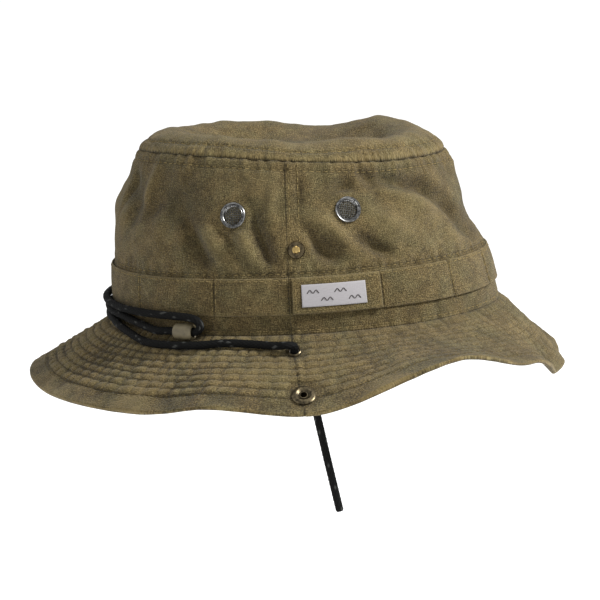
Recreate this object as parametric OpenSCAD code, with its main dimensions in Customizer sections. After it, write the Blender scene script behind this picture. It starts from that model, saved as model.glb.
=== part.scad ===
// Bucket hat with a quilted brim, vented crown, snap-up brim sides and a chin cord.
// +Z is up, the wearer faces -X, and the wearer's left is -Y.
// The origin is the middle of the head opening, level with the seam between crown and brim.

/* [Crown] */
// Length of the crown at the brim seam
crown_len = 199; // [185:1:210]
// Width of the crown at the brim seam
crown_wid = 165; // [153:1:174]
// Height of the side wall, from the brim seam to the tip seam
crown_h = 81; // [74:1:88]
// Amount that the tip seam stands higher at the front than at the middle
crown_tilt = 2.5; // [0:0.5:4]
// Extra height of the tip seam over the wearer's left brow
brow_lift = 4.5; // [0:0.5:6]
// Size of the tip seam as a share of the brim seam
crown_taper = 0.796; // [0.76:0.004:0.84]
// Thickness of the crown cloth
cloth_t = 1; // [0.8:0.1:1.2]
// Distance in from the tip seam to the crest of the dished tip
crest_in = 12; // [10:0.5:15]

/* [Brim] */
// Width of the brim from seam to edge
brim_w = 51.5; // [48:0.5:56]
// Mean slope of the brim below level, in degrees
brim_slope = 35.8; // [32:0.2:40]
// Height of one layer of the brim, measured upright
layer_h = 0.8; // [0.6:0.05:0.9]
// Half of the angle that the snap-up side of the brim takes
side_half = 20; // [16:1:21]

/* [Hat band] */
// Height of the lower edge of the hat band
band_low = 9.8; // [9:0.1:11]
// Height of the upper edge of the hat band
band_high = 28; // [26:0.5:30]
// Thickness of the hat band
band_t = 1.1; // [0.8:0.1:1.2]
// Width of the folded label tab
tab_w = 43; // [36:1:46]
// Width of the woven label
label_w = 31; // [26:1:34]
// Height of the woven label
label_h = 10.8; // [9:0.2:12]
// Height of the sweatband
sweat_h = 32; // [28:1:34]

/* [Metal trim] */
// Outer diameter of a vent eyelet
vent_d = 12.8; // [11:0.2:13.4]
// Opening of a vent eyelet
vent_hole_d = 9.4; // [8.6:0.2:9.8]
// Outer diameter of a cord eyelet
eyelet_d = 7.4; // [7:0.1:8]
// Opening of a cord eyelet
eyelet_hole_d = 4.8; // [4.7:0.1:5]
// Outer diameter of the snap socket
socket_d = 11.6; // [11:0.1:12]
// Outer diameter of the snap stud's flange
stud_d = 8.6; // [8:0.1:9]
// Outer diameter of the neck through the snap socket
snap_neck_d = 4.3; // [4.2:0.1:4.6]

/* [Cord] */
// Diameter of the braided chin cord
cord_d = 4.1; // [3.8:0.1:4.1]
// Length of a cord toggle
toggle_len = 10.5; // [9:0.5:14]
// Outer diameter of a cord toggle
toggle_d = 8.2; // [7.6:0.1:8.4]

/* [Hidden] */

canvas = [0.44, 0.38, 0.22];
canvas_dark = [0.37, 0.32, 0.19];
silver = [0.6, 0.6, 0.58];
antique_brass = [0.42, 0.34, 0.2];
cord_black = [0.06, 0.06, 0.06];
label_white = [0.85, 0.86, 0.88];

half_len = crown_len / 2;
half_wid = crown_wid / 2;
// Curve of the crown wall: 1 is a straight cone
wall_power = 1.8;
// Clearance between layers that touch
gap = 0.05;
// Height at which metal flanges lie over the cloth
fit = 0.35;
// Slit between the snap-up sides and the rest of the brim
seam_gap = 0.6;
// Width of the fixed strip of brim above a snap-up side
side_root = 5.6;
// Angles of the crown's side seams
seam_left = 267;
seam_right = 93;
// Places of the snap stud on the crown, and of the socket and the cord eyelet on the brim
stud_z = 41;
snap_x = -0.5;
snap_u = 40;
eyelet_x = -4;
eyelet_u = 11;
// Angle of the brow over which the tip seam rises
brow_angle = 225;
// Places of the vents
vent_z = 58.5;
vent_front = 250;
vent_back = 287;
// Dish of the tip inside its crest
dish_width = 25;
dish_floor = -0.5;
// Width over which the tip's cloth thickens from its folded edge
tip_edge = 1.2;
// Share of the brim's width over which its wave grows, as a power
wave_power = 1.6;
// Space between the crown wall and the band sewn over it
band_off = 0.2;
// Clearance round shanks and barrels that pass through cloth
hole_ease = 0.9;
// Depth of the cutters on each side of the cloth
punch = 6;

// Shift of the crown's foot towards the back, at the front and back ends
foot_shift = 4.5;
// Drop of the brim's edge below the brim seam, as [angle, drop]
brim_drop = [
  [0, 36], [22, 31], [48, 26], [72, 30], [90, 31], [110, 28], [135, 27], [160, 27],
  [180, 26.5], [205, 29.5], [234, 30.5], [251, 25], [270, 30.5], [300, 8], [320, 19], [340, 34]
];
// Height of the tip's crest above the tip seam, as [angle, height]
tip_crest = [
  [0, 10], [41, 13], [75, 5.5], [100, 10.5], [145, 11], [200, 8.5], [235, 9.8],
  [258, 9], [272, 7], [300, 11], [330, 10.5]
];

// The cord's route from the left eyelet, low round the front, to the right toggle and back
route_left = [
  [-4, -91.6, -6.6], [-4, -93.5, -3.5], [-7.5, -95, -2.5], [-13, -92.5, -3], [-23, -88.5, -2.5],
  [-36.5, -84.5, -2], [-50.5, -81, -3], [-62.5, -75.5, -3.5], [-72.9, -69, -3.5], [-80, -60, -3],
  [-86.7, -48.5, -1], [-92.5, -35.5, 0.5], [-96.1, -22, 1.5], [-98.5, -10.5, 1.5], [-99.5, 0, 1.5]
];
route_right = [
  [-99.5, 0.3, 1.5], [-98.5, 10.5, 1.5], [-96.1, 22, 1.5], [-92.5, 35.5, 0.5], [-86.7, 48.5, -1],
  [-80.5, 60, -2.5], [-72.9, 69, -3.5], [-62.5, 76.5, -3.5], [-55.5, 80, -3.5], [-49.5, 82.5, -3.5],
  [-45, 81.5, -0.5], [-46.5, 79, 2.2], [-51.8, 76.1, 2.5], [-57.5, 73, 2.5], [-66, 68.3, 2.5],
  [-72, 65, 2.5], [-81.8, 50.5, 4], [-89.4, 38, 5.4], [-95.2, 25, 5.8], [-98.2, 12.5, 5.8],
  [-99.5, 0, 5.8], [-98.2, -12.5, 5.8], [-95.2, -25, 5.8], [-89.4, -38, 5.4], [-81.8, -50.5, 4],
  [-72, -65, 2.5], [-66, -68.3, 2.5], [-57.5, -73, 2.5], [-53.2, -75.4, 2.5], [-50.6, -76.9, 3.4],
  [-49.4, -77.8, 5.9], [-51, -77.2, 8.6], [-55, -74.2, 9.6], [-62, -69.3, 9.9], [-70.5, -63.3, 10],
  [-80.5, -53.3, 10],
  [-89.4, -40.6, 10], [-95.7, -26.7, 10.2], [-99.2, -13.5, 10.2], [-100.5, 0, 10.2],
  [-99.2, 13.5, 10.2], [-95.7, 26.7, 10.2], [-89.4, 40.6, 10], [-80.5, 53.3, 10],
  [-70.5, 63.3, 10], [-58, 71.8, 9.6], [-47.5, 77.6, 8.2], [-37, 82.5, 4.8], [-26.5, 87, -1.4],
  [-15, 90.5, -3], [-7.5, 95, -2.5], [-4, 93.5, -3.5], [-4, 91.6, -6.6]
];
// The hanging left end of the cord, down through its eyelet
route_end_left = [
  [-4, -91.2, -7], [-4, -89.6, -9.2], [-3, -88.8, -14], [0.5, -88.5, -22], [4, -89, -32],
  [6.5, -89.5, -45], [9.5, -90, -62], [14.3, -90, -88]
];
// The hanging right end of the cord
route_end_right = [
  [-4, 91.2, -7], [-4, 89.6, -9.2], [-3, 88.8, -14], [-0.5, 88.5, -22], [2, 89, -32],
  [3, 89.5, -45], [4, 90, -60], [4.5, 90, -78]
];
// Sides of the cord's round section, and its length between rings in diameters
cord_sides = 10;
cord_step = 3;
// Middle of the right toggle, and the turn of its bore from straight back, in degrees
toggle_mid = [-57.5, 73, 2.5];
toggle_turn = 28.9;
toggle_bore = cord_d + 0.8;

// Smooth periodic value between the entries of a table of [angle, value]
function ease(t) = t * t * (3 - 2 * t);
function entry(table, i) = i < len(table) ? table[i] : table[i - len(table)] + [360, 0];
function slot_of(table, angle, i = 0) = angle < entry(table, i + 1)[0] ? i : slot_of(table, angle, i + 1);
function between(a, b, angle) = a[1] + (b[1] - a[1]) * ease((angle - a[0]) / (b[0] - a[0]));
function wrap(angle) = angle - 360 * floor(angle / 360);
function wave(table, angle) =
  let (w = wrap(angle), i = slot_of(table, w))
  between(entry(table, i), entry(table, i + 1), w);

// Crown wall: t runs from 0 at the brim seam to 1 at the tip seam
function brow(angle) = pow(max(0, cos(angle - brow_angle)), 2);
function wall_h(angle) = crown_h - crown_tilt * cos(angle) + brow_lift * brow(angle);
function wall_share(t) = 1 - (1 - crown_taper) * pow(t, wall_power);
function wall(angle, t, off = 0) = [
  (half_len * wall_share(t) + off) * cos(angle) + foot_shift * pow(max(0, 1 - t), 3) * pow(cos(angle), 2),
  (half_wid * wall_share(t) + off) * sin(angle),
  t * wall_h(angle)
];
function wall_at(angle, z, off = 0) = wall(angle, z / wall_h(angle), off);
function wall_facing(angle) = atan2(sin(angle) / half_wid, cos(angle) / half_len);
function wall_lean(angle, z) =
  let (a = wall_at(angle, z - 1), b = wall_at(angle, z + 1))
  atan((norm([a[0], a[1]]) - norm([b[0], b[1]])) / 2);

// Brim: u is the distance out from the brim seam, and low is the distance below the top face
function brim_fall(angle, u) =
  let (even = brim_w * sin(brim_slope))
  u * sin(brim_slope) + (wave(brim_drop, angle) - even) * pow(u / brim_w, wave_power);
function brim(angle, u, low = 0) =
  let (
    fall = brim_fall(angle, u),
    out = sqrt(max(u * u - fall * fall, 0)),
    shift = foot_shift * pow(cos(angle), 2) * (1 - u / brim_w)
  )
  [(half_len + out) * cos(angle) + shift, (half_wid + out) * sin(angle), -fall - low];

// Tip: q is the distance in from the tip seam
function tip_rise(angle, q) =
  let (crest = wave(tip_crest, angle))
  q < crest_in
    ? crest * pow(sin(90 * q / crest_in), 0.8)
    : dish_floor + (crest - dish_floor) * (0.5 + 0.5 * cos(min(180, 180 * (q - crest_in) / dish_width)));
function tip(angle, q, low = 0) =
  let (
    w = half_wid * crown_taper,
    share = 1 - q / w,
    inset = low * max(0, 1 - q / 8),
    height = crown_h + (wall_h(angle) - crown_h) * (1 - ease(q / w))
  )
  [
    (half_len * crown_taper * share - inset) * cos(angle),
    (w * share - inset) * sin(angle),
    height + gap + tip_rise(angle, q) - low * min(1, q / tip_edge)
  ];

function flat(rows) = [for (row = rows) for (p = row) p];
function steps(from, to, count) = [for (i = [0:count]) from + (to - from) * i / count];
function quad(a, b, c, d) = [[a, b, c], [a, c, d]];

// Closed solid between two equal grids of points. Rows follow each other round the hat.
module shell(outer, inner, ring = false) {
  rows = len(outer);
  cols = len(outer[0]);
  half = rows * cols;
  spans = ring ? rows : rows - 1;
  front = [
    for (i = [0:spans - 1]) for (j = [0:cols - 2])
      let (k = (i + 1) % rows)
      each quad(i * cols + j, i * cols + j + 1, k * cols + j + 1, k * cols + j)
  ];
  back = [for (f = front) [f[2] + half, f[1] + half, f[0] + half]];
  low_edge = [
    for (i = [0:spans - 1])
      let (a = i * cols, b = ((i + 1) % rows) * cols)
      each quad(a, b, b + half, a + half)
  ];
  high_edge = [
    for (i = [0:spans - 1])
      let (a = i * cols + cols - 1, b = ((i + 1) % rows) * cols + cols - 1)
      each quad(a, a + half, b + half, b)
  ];
  first_end = [for (j = [0:cols - 2]) each quad(j, j + half, j + 1 + half, j + 1)];
  last = (rows - 1) * cols;
  last_end = [for (j = [0:cols - 2]) each quad(last + j, last + j + 1, last + j + 1 + half, last + j + half)];
  ends = ring ? [] : concat(first_end, last_end);
  polyhedron(concat(flat(outer), flat(inner)), concat(front, back, low_edge, high_edge, ends), convexity = 6);
}

// Band of cloth on the crown wall between two angles and two heights
module wall_patch(from, to, low, high, outer, inner, count, rises = 2, ring = false) {
  angles = ring ? [for (i = [0:count - 1]) 360 * i / count] : steps(from, to, count);
  shell(
    [for (a = angles) [for (z = steps(low, high, rises)) wall_at(a, z, outer)]],
    [for (a = angles) [for (z = steps(low, high, rises)) wall_at(a, z, inner)]],
    ring
  );
}

// Panel of the crown from the brim seam up to the tip seam
module crown_panel(from, to) {
  angles = steps(from, to, 28);
  shell(
    [for (a = angles) [for (t = steps(0, 1, 7)) wall(a, t)]],
    [for (a = angles) [for (t = steps(0, 1, 7)) wall(a, t, -cloth_t)]]
  );
}

// Puts its children on the crown wall, with +Z pointing out of the cloth
module on_wall(angle, z) {
  translate(wall_at(angle, z))
    rotate([0, 90 - wall_lean(angle, z), wall_facing(angle)])
      children();
}

// Puts its children on the brim beside the left or right seam, with +Z pointing out of its top face
module on_brim(x, u, side) {
  y = side * (half_wid + u * cos(brim_slope));
  translate([x, y, -u * sin(brim_slope)])
    rotate([-side * brim_slope, 0, 0])
      children();
}

module ring_of(outer_d, hole_d, low, high) {
  translate([0, 0, low])
    difference() {
      cylinder(d = outer_d, h = high - low, $fn = 48);
      translate([0, 0, -1])
        cylinder(d = hole_d, h = high - low + 2, $fn = 48);
    }
}

// Cutter through any cloth at the origin
module hole(d) {
  translate([0, 0, -punch])
    cylinder(d = d, h = 2 * punch, $fn = 48);
}

// One layer of the fixed brim over half of the hat, narrow beside the snap-up sides
module brim_half(from, low) {
  full = steps(from + side_half, from + 180 - side_half, 26);
  narrow = side_half - 0.5;
  before = steps(from + gap, from + narrow, 4);
  after = steps(from + 180 - narrow, from + 180 - gap, 4);
  angles = concat(before, full, after);
  function reach(a) = (a < from + side_half - 0.1 || a > from + 180 - side_half + 0.1) ? side_root : brim_w;
  shell(
    [for (a = angles) [for (u = steps(0, reach(a), 5)) brim(a, u, low + layer_h)]],
    [for (a = angles) [for (u = steps(0, reach(a), 5)) brim(a, u, low)]]
  );
}

// One layer of the snap-up side, with holes for the cord eyelet and the snap
module brim_side(middle, low, side) {
  reach = side_half - seam_gap;
  angles = steps(middle - reach, middle + reach, 10);
  difference() {
    shell(
      [for (a = angles) [for (u = steps(side_root + 0.6, brim_w, 6)) brim(a, u, low + layer_h)]],
      [for (a = angles) [for (u = steps(side_root + 0.6, brim_w, 6)) brim(a, u, low)]]
    );
    on_brim(eyelet_x, eyelet_u, side)
      hole(eyelet_hole_d + hole_ease + fit);
    on_brim(snap_x, snap_u, side)
      hole(snap_neck_d + 0.1);
  }
}

module vent_rim(angle) {
  on_wall(angle, vent_z) {
    rotate_extrude($fn = 48)
      polygon([
        [vent_hole_d / 2, -2.6], [vent_hole_d / 2 + 0.35, -2.6], [vent_hole_d / 2 + 0.35, fit],
        [vent_d / 2, fit], [vent_d / 2, fit + 0.35], [vent_d / 2 - 0.3, fit + 0.65],
        [vent_d / 2 - 0.65, fit + 0.5], [vent_d / 2 - 0.9, fit + 0.2], [vent_d / 2 - 1.15, fit + 0.25],
        [vent_hole_d / 2 + 0.25, fit + 0.6], [vent_hole_d / 2, fit + 0.35]
      ]);
  }
}

module vent_mesh(angle) {
  on_wall(angle, vent_z)
    ring_of(vent_hole_d - 0.1, 1, -0.6, -0.2);
}

module vent_washer(angle) {
  on_wall(angle, vent_z)
    ring_of(vent_d - 0.4, vent_hole_d + hole_ease, -2.4, -1.5);
}

module vent_hole(angle) {
  on_wall(angle, vent_z)
    hole(vent_hole_d + hole_ease);
}

module stud_hole(angle) {
  on_wall(angle, stud_z)
    hole(3.4);
}

function stud_angle(side) = side * acos(snap_x / (half_len * wall_share(stud_z / crown_h)));

module crown_tip() color(canvas) {
  angles = [for (i = [0:47]) 7.5 * i];
  rings = [0, tip_edge, 3, 6, 9, crest_in, 16, 21, 26, 31, 37, 46, 56];
  cols = len(rings);
  last = 48 * cols;
  top = [for (a = angles) [for (q = rings) tip(a, q)]];
  under = [for (a = angles) [for (q = rings) tip(a, q, cloth_t)]];
  middle = [[0, 0, crown_h + gap + dish_floor], [0, 0, crown_h + gap + dish_floor - cloth_t]];
  upper = [
    for (i = [0:47]) for (j = [0:cols - 2])
      let (k = (i + 1) % 48)
      each quad(i * cols + j, i * cols + j + 1, k * cols + j + 1, k * cols + j)
  ];
  lower = [for (f = upper) [f[2] + last, f[1] + last, f[0] + last]];
  edge = [for (i = [0:47]) let (a = i * cols, b = ((i + 1) % 48) * cols) each quad(a, b, b + last, a + last)];
  hub = [for (i = [0:47]) [i * cols + cols - 1, 2 * last, ((i + 1) % 48) * cols + cols - 1]];
  hub_under = [for (f = hub) [f[2] + last, 2 * last + 1, f[0] + last]];
  points = concat(flat(top), flat(under), middle);
  polyhedron(points, concat(upper, lower, edge, hub, hub_under), convexity = 8);
}

module crown_panel_front() color(canvas) {
  difference() {
    crown_panel(seam_right + gap, seam_left - gap);
    vent_hole(vent_front);
    vent_hole(360 - vent_front);
  }
}

module crown_panel_back() color(canvas) {
  difference() {
    crown_panel(seam_left + gap, seam_right + 360 - gap);
    vent_hole(vent_back);
    vent_hole(360 - vent_back);
    stud_hole(stud_angle(-1));
    stud_hole(stud_angle(1));
  }
}

module tip_seam_binding() color(canvas_dark)
  wall_patch(0, 360, crown_h - 9, crown_h - 3, -cloth_t - 0.2, -cloth_t - 0.8, 56, 1, true);

module seam_tape(middle) color(canvas_dark)
  wall_patch(middle - 3.5, middle + 3.5, sweat_h + 12, crown_h - 10, -cloth_t - 0.2, -cloth_t - 0.7, 4, 4);

module seam_tape_left() seam_tape(seam_left - 2.5);
module seam_tape_right() seam_tape(seam_right + 2.5);

module sweatband() color(canvas_dark)
  wall_patch(0, 360, 1, sweat_h, -cloth_t - 0.3, -cloth_t - 1.5, 64, 3, true);

module hat_band(from, to) color(canvas)
  wall_patch(from, to, band_low, band_high, band_off + band_t, band_off, 32, 2);

module hat_band_front() hat_band(seam_right + gap, seam_left - gap);
module hat_band_back() hat_band(seam_left + gap, seam_right + 360 - gap);

module label_tab() color(canvas) {
  from = 270 - asin(3.5 / half_len);
  to = 270 + asin((tab_w - 3.5) / half_len);
  wall_patch(from, to, band_low + 0.5, band_high - 0.5, band_t + 1.2, band_t + 0.3, 12, 2);
}

module woven_label() color(label_white) {
  from = 270 + asin(1 / half_len);
  to = 270 + asin((label_w + 1) / half_len);
  low = (band_low + band_high - label_h) / 2;
  wall_patch(from, to, low, low + label_h, band_t + 1.7, band_t + 1.3, 10, 1);
}

module care_label() color(label_white)
  wall_patch(-9, 9, 5, 27, -cloth_t - 1.7, -cloth_t - 2, 6, 2);

module brim_top_front() color(canvas) brim_half(90, 0);
module brim_top_back() color(canvas) brim_half(270, 0);
module brim_lining_front() color(canvas_dark) brim_half(90, layer_h + gap);
module brim_lining_back() color(canvas_dark) brim_half(270, layer_h + gap);
module brim_under_front() color(canvas) brim_half(90, 2 * (layer_h + gap));
module brim_under_back() color(canvas) brim_half(270, 2 * (layer_h + gap));
module brim_top_side_left() color(canvas) brim_side(270, 0, -1);
module brim_lining_side_left() color(canvas_dark) brim_side(270, layer_h + gap, -1);
module brim_under_side_left() color(canvas) brim_side(270, 2 * (layer_h + gap), -1);
module brim_top_side_right() color(canvas) brim_side(90, 0, 1);
module brim_lining_side_right() color(canvas_dark) brim_side(90, layer_h + gap, 1);
module brim_under_side_right() color(canvas) brim_side(90, 2 * (layer_h + gap), 1);

module vent_rim_left_front() color(silver) vent_rim(vent_front);
module vent_rim_left_back() color(silver) vent_rim(vent_back);
module vent_rim_right_front() color(silver) vent_rim(360 - vent_front);
module vent_rim_right_back() color(silver) vent_rim(360 - vent_back);
module vent_mesh_left_front() color(silver) vent_mesh(vent_front);
module vent_mesh_left_back() color(silver) vent_mesh(vent_back);
module vent_mesh_right_front() color(silver) vent_mesh(360 - vent_front);
module vent_mesh_right_back() color(silver) vent_mesh(360 - vent_back);
module vent_washer_left_front() color(silver) vent_washer(vent_front);
module vent_washer_left_back() color(silver) vent_washer(vent_back);
module vent_washer_right_front() color(silver) vent_washer(360 - vent_front);
module vent_washer_right_back() color(silver) vent_washer(360 - vent_back);

// Snap stud: a flange, a neck and a round head, bored for its post
module snap_stud(side) color(antique_brass)
  on_wall(stud_angle(side), stud_z)
    rotate_extrude($fn = 40)
      polygon([
        [0.8, 0.15], [stud_d / 2, 0.15], [stud_d / 2 - 0.3, 0.6], [2, 0.8], [1.5, 1], [1.5, 1.4],
        [1.9, 1.8], [1.9, 2.2], [1.4, 2.7], [0.6, 2.85], [0, 2.85], [0, 2.3], [0.8, 2.3]
      ]);

// Snap post: a flat head inside the crown and a shank through the cloth
module snap_post(side) color(antique_brass)
  on_wall(stud_angle(side), stud_z)
    rotate_extrude($fn = 40)
      polygon([[0, -2.4], [4.6, -2.4], [4.4, -1.7], [1.4, -1.5], [0.75, -1.4], [0.75, 2], [0, 2]]);

// Snap socket: a domed ring on the brim's top face
module snap_socket(side) color(antique_brass)
  on_brim(snap_x, snap_u, side)
    rotate_extrude($fn = 48)
      polygon([
        [2.45, fit], [socket_d / 2, fit], [socket_d / 2, 0.75], [socket_d / 2 - 0.6, 1.2],
        [socket_d / 2 - 1.6, 1.5], [3.7, 1.5], [3.2, 1.2], [2.45, 0.8]
      ]);

// Snap cap: the domed rivet head on the brim's under face
module snap_cap(side) color(antique_brass)
  on_brim(snap_x, snap_u, side)
    rotate_extrude($fn = 48)
      polygon([
        [0, -4.1], [3, -4], [5.2, -3.4], [5.4, -2.9], [snap_neck_d / 2, -2.9], [snap_neck_d / 2, 0.9],
        [1.7, 0.9], [1.7, -2.9], [0, -2.9]
      ]);

// Cord eyelet: a rolled flange on the top face and a barrel through the brim
module cord_eyelet(side) color(antique_brass)
  on_brim(eyelet_x, eyelet_u, side)
    rotate_extrude($fn = 40)
      polygon([
        [eyelet_hole_d / 2, -3.2], [eyelet_hole_d / 2 + 0.3, -3.2], [eyelet_hole_d / 2 + 0.3, fit],
        [eyelet_d / 2, fit], [eyelet_d / 2 - 0.2, fit + 0.5], [eyelet_d / 2 - 0.7, fit + 0.8],
        [eyelet_hole_d / 2 + 0.2, fit + 0.6], [eyelet_hole_d / 2, fit + 0.2]
      ]);

module cord_washer(side) color(antique_brass)
  on_brim(eyelet_x, eyelet_u, side)
    ring_of(eyelet_d + 0.6, eyelet_hole_d + 0.8, -3, -2.4);

module snap_stud_left() snap_stud(-1);
module snap_stud_right() snap_stud(1);
module snap_post_left() snap_post(-1);
module snap_post_right() snap_post(1);
module snap_socket_left() snap_socket(-1);
module snap_socket_right() snap_socket(1);
module snap_cap_left() snap_cap(-1);
module snap_cap_right() snap_cap(1);
module cord_eyelet_left() cord_eyelet(-1);
module cord_eyelet_right() cord_eyelet(1);
module cord_washer_left() cord_washer(-1);
module cord_washer_right() cord_washer(1);

// Smooth curve through the points of a route
function point_of(p, i) = i < 0 ? 2 * p[0] - p[1] : i >= len(p) ? 2 * p[len(p) - 1] - p[len(p) - 2] : p[i];
function curve(a, b, c, d, t) =
  (2 * b + (c - a) * t + (2 * a - 5 * b + 4 * c - d) * t * t + (3 * b - a - 3 * c + d) * t * t * t) / 2;
function parts_of(p, i) = max(1, round(norm(p[i + 1] - p[i]) / cord_d / cord_step + 0.3));
function smooth(p) = concat(
  [
    for (i = [0:len(p) - 2]) for (k = [0:parts_of(p, i) - 1])
      curve(point_of(p, i - 1), p[i], p[i + 1], point_of(p, i + 2), k / parts_of(p, i))
  ],
  [p[len(p) - 1]]
);
function unit(v) = v / norm(v);
function heading(p, i) = unit(point_of(p, i + 1) - point_of(p, i - 1));
// Each ring's upright carries on from the ring before it, so that the tube doesn't twist
function uprights(p, i = 0, up = [1, 0, 0]) =
  i == len(p) ? [] :
  let (h = heading(p, i), u = unit(up - h * (up * h)))
  concat([u], uprights(p, i + 1, u));

module tube(route, first_up) {
  p = smooth(route);
  ups = uprights(p, 0, first_up);
  count = len(p);
  turns = [for (k = [0:cord_sides - 1]) 360 * k / cord_sides];
  rings = [
    for (i = [0:count - 1])
      let (u = ups[i], v = cross(heading(p, i), u))
      [for (turn = turns) p[i] + cord_d / 2 * (u * cos(turn) + v * sin(turn))]
  ];
  side_faces = [
    for (i = [0:count - 2]) for (k = [0:cord_sides - 1])
      let (n = (k + 1) % cord_sides, a = i * cord_sides, b = a + cord_sides)
      each quad(a + k, b + k, b + n, a + n)
  ];
  start = [[for (k = [0:cord_sides - 1]) k]];
  finish = [[for (k = [cord_sides - 1:-1:0]) (count - 1) * cord_sides + k]];
  polyhedron(flat(rings), concat(start, side_faces, finish), convexity = 10);
}

module cord_run_left() color(cord_black) tube(route_left, [1, 0, 0]);
module cord_run_right() color(cord_black) tube(route_right, [0, 0, 1]);
module cord_end_left() color(cord_black) tube(route_end_left, [1, 0, 0]);
module cord_end_right() color(cord_black) tube(route_end_right, [1, 0, 0]);

// Toggle: a barrel that slides along the cord
module toggle(side) color(canvas)
  translate([toggle_mid[0], side * toggle_mid[1], toggle_mid[2]])
    rotate([0, 90, side * toggle_turn])
      translate([0, 0, -toggle_len / 2])
        rotate_extrude($fn = 40)
          polygon([
            [toggle_bore / 2, 0.4], [toggle_bore / 2 + 0.5, 0], [toggle_d / 2 - 0.9, 0],
            [toggle_d / 2 - 0.3, 0.6], [toggle_d / 2, toggle_len * 0.3], [toggle_d / 2, toggle_len * 0.7],
            [toggle_d / 2 - 0.3, toggle_len - 0.6], [toggle_d / 2 - 0.9, toggle_len],
            [toggle_bore / 2 + 0.5, toggle_len], [toggle_bore / 2, toggle_len - 0.4]
          ]);

module toggle_left() toggle(-1);
module toggle_right() toggle(1);

crown_tip();
crown_panel_front();
crown_panel_back();
tip_seam_binding();
seam_tape_left();
seam_tape_right();
sweatband();
hat_band_front();
hat_band_back();
label_tab();
woven_label();
care_label();
brim_top_front();
brim_top_back();
brim_lining_front();
brim_lining_back();
brim_under_front();
brim_under_back();
brim_top_side_left();
brim_lining_side_left();
brim_under_side_left();
brim_top_side_right();
brim_lining_side_right();
brim_under_side_right();
vent_rim_left_front();
vent_rim_left_back();
vent_rim_right_front();
vent_rim_right_back();
vent_mesh_left_front();
vent_mesh_left_back();
vent_mesh_right_front();
vent_mesh_right_back();
vent_washer_left_front();
vent_washer_left_back();
vent_washer_right_front();
vent_washer_right_back();
snap_stud_left();
snap_stud_right();
snap_post_left();
snap_post_right();
snap_socket_left();
snap_socket_right();
snap_cap_left();
snap_cap_right();
cord_eyelet_left();
cord_eyelet_right();
cord_washer_left();
cord_washer_right();
cord_run_left();
cord_run_right();
cord_end_left();
cord_end_right();
toggle_left();
toggle_right();
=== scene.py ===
"""Bucket hat: the looks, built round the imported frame. Lengths are in millimetres until a mesh is made."""
import math
import random

import bpy
import numpy as np
from mathutils import Matrix, Vector, noise


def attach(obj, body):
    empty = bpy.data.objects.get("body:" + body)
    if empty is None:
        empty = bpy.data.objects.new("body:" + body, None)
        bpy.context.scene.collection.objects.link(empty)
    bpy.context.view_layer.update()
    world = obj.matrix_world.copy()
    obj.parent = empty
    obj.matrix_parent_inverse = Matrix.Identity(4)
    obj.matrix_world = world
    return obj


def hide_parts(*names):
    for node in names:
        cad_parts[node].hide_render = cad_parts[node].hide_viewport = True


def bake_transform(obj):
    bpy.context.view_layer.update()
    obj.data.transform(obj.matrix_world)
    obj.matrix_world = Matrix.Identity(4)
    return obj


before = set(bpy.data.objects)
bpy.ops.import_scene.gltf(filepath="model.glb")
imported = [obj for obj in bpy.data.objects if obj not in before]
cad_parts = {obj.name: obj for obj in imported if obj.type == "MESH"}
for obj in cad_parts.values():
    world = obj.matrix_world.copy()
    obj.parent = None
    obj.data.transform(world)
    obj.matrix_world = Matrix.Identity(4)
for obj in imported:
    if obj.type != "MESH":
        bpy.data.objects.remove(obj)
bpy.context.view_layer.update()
MM = 0.001

# Camera: level with the brim's left side, a little above it, with the slight tilt of the product shot
CAM_DISTANCE = 1.2
CAM_ELEVATION = math.radians(10.5)
CAM_ROLL = math.radians(3.0)
CAM_LENS = 137.4
CAM_RAISE = 0.0018


def make_camera():
    data = bpy.data.cameras.new("camera")
    data.lens = CAM_LENS
    data.sensor_width = 36
    cam = bpy.data.objects.new("camera", data)
    back = Vector((0, -math.cos(CAM_ELEVATION), math.sin(CAM_ELEVATION)))
    right = Vector((1, 0, 0))
    up = back.cross(right)
    turned_right = right * math.cos(CAM_ROLL) - up * math.sin(CAM_ROLL)
    turned_up = right * math.sin(CAM_ROLL) + up * math.cos(CAM_ROLL)
    place = back * CAM_DISTANCE + turned_up * CAM_RAISE
    turn = Matrix((turned_right, turned_up, back)).transposed().to_4x4()
    cam.matrix_world = Matrix.Translation(place) @ turn
    bpy.context.scene.collection.objects.link(cam)
    bpy.context.scene.camera = cam


make_camera()

# ---------------------------------------------------------------- shape of the hat, in millimetres
# Angles go round the crown in degrees: 0 at the back, 90 on the right, 180 at the front, 270 on the left.
HALF_LEN = 99.5  # of the seam between crown and brim
HALF_WID = 82.5
CROWN_H = 81.0
CROWN_TILT = 2.5  # the tip seam is this much higher in front, and lower behind
BROW_LIFT = 4.5  # and rises once more round BROW_ANGLE
BROW_ANGLE = 225.0
CROWN_TAPER = 0.796  # the tip seam's length over the brim seam's
WALL_POWER = 1.8
FOOT_SHIFT = 4.5  # the wall's foot leans this much towards the back
CLOTH_T = 1.0
CREST_IN = 12.0  # the tip rises to a crest this far in from its seam, then sinks to the dish
DISH_WIDTH = 25.0
DISH_FLOOR = -0.5
BRIM_W = 51.5
BRIM_SLOPE = math.radians(35.8)
WAVE_POWER = 1.6
BAND_LOW = 9.8
BAND_HIGH = 28.0
SEAM_LEFT = 267.0
SEAM_RIGHT = 93.0
STUD_Z = 41.0
SNAP_X = -0.5
SNAP_U = 40.0
EYELET_X = -4.0
EYELET_U = 11.0
TOGGLE_X = -57.5
TOGGLE_Y = 73.0
TOGGLE_Z = 2.5
VENT_Z = 58.5
VENTS = {"left_front": 250.0, "left_back": 287.0, "right_front": 110.0, "right_back": 73.0}
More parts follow.
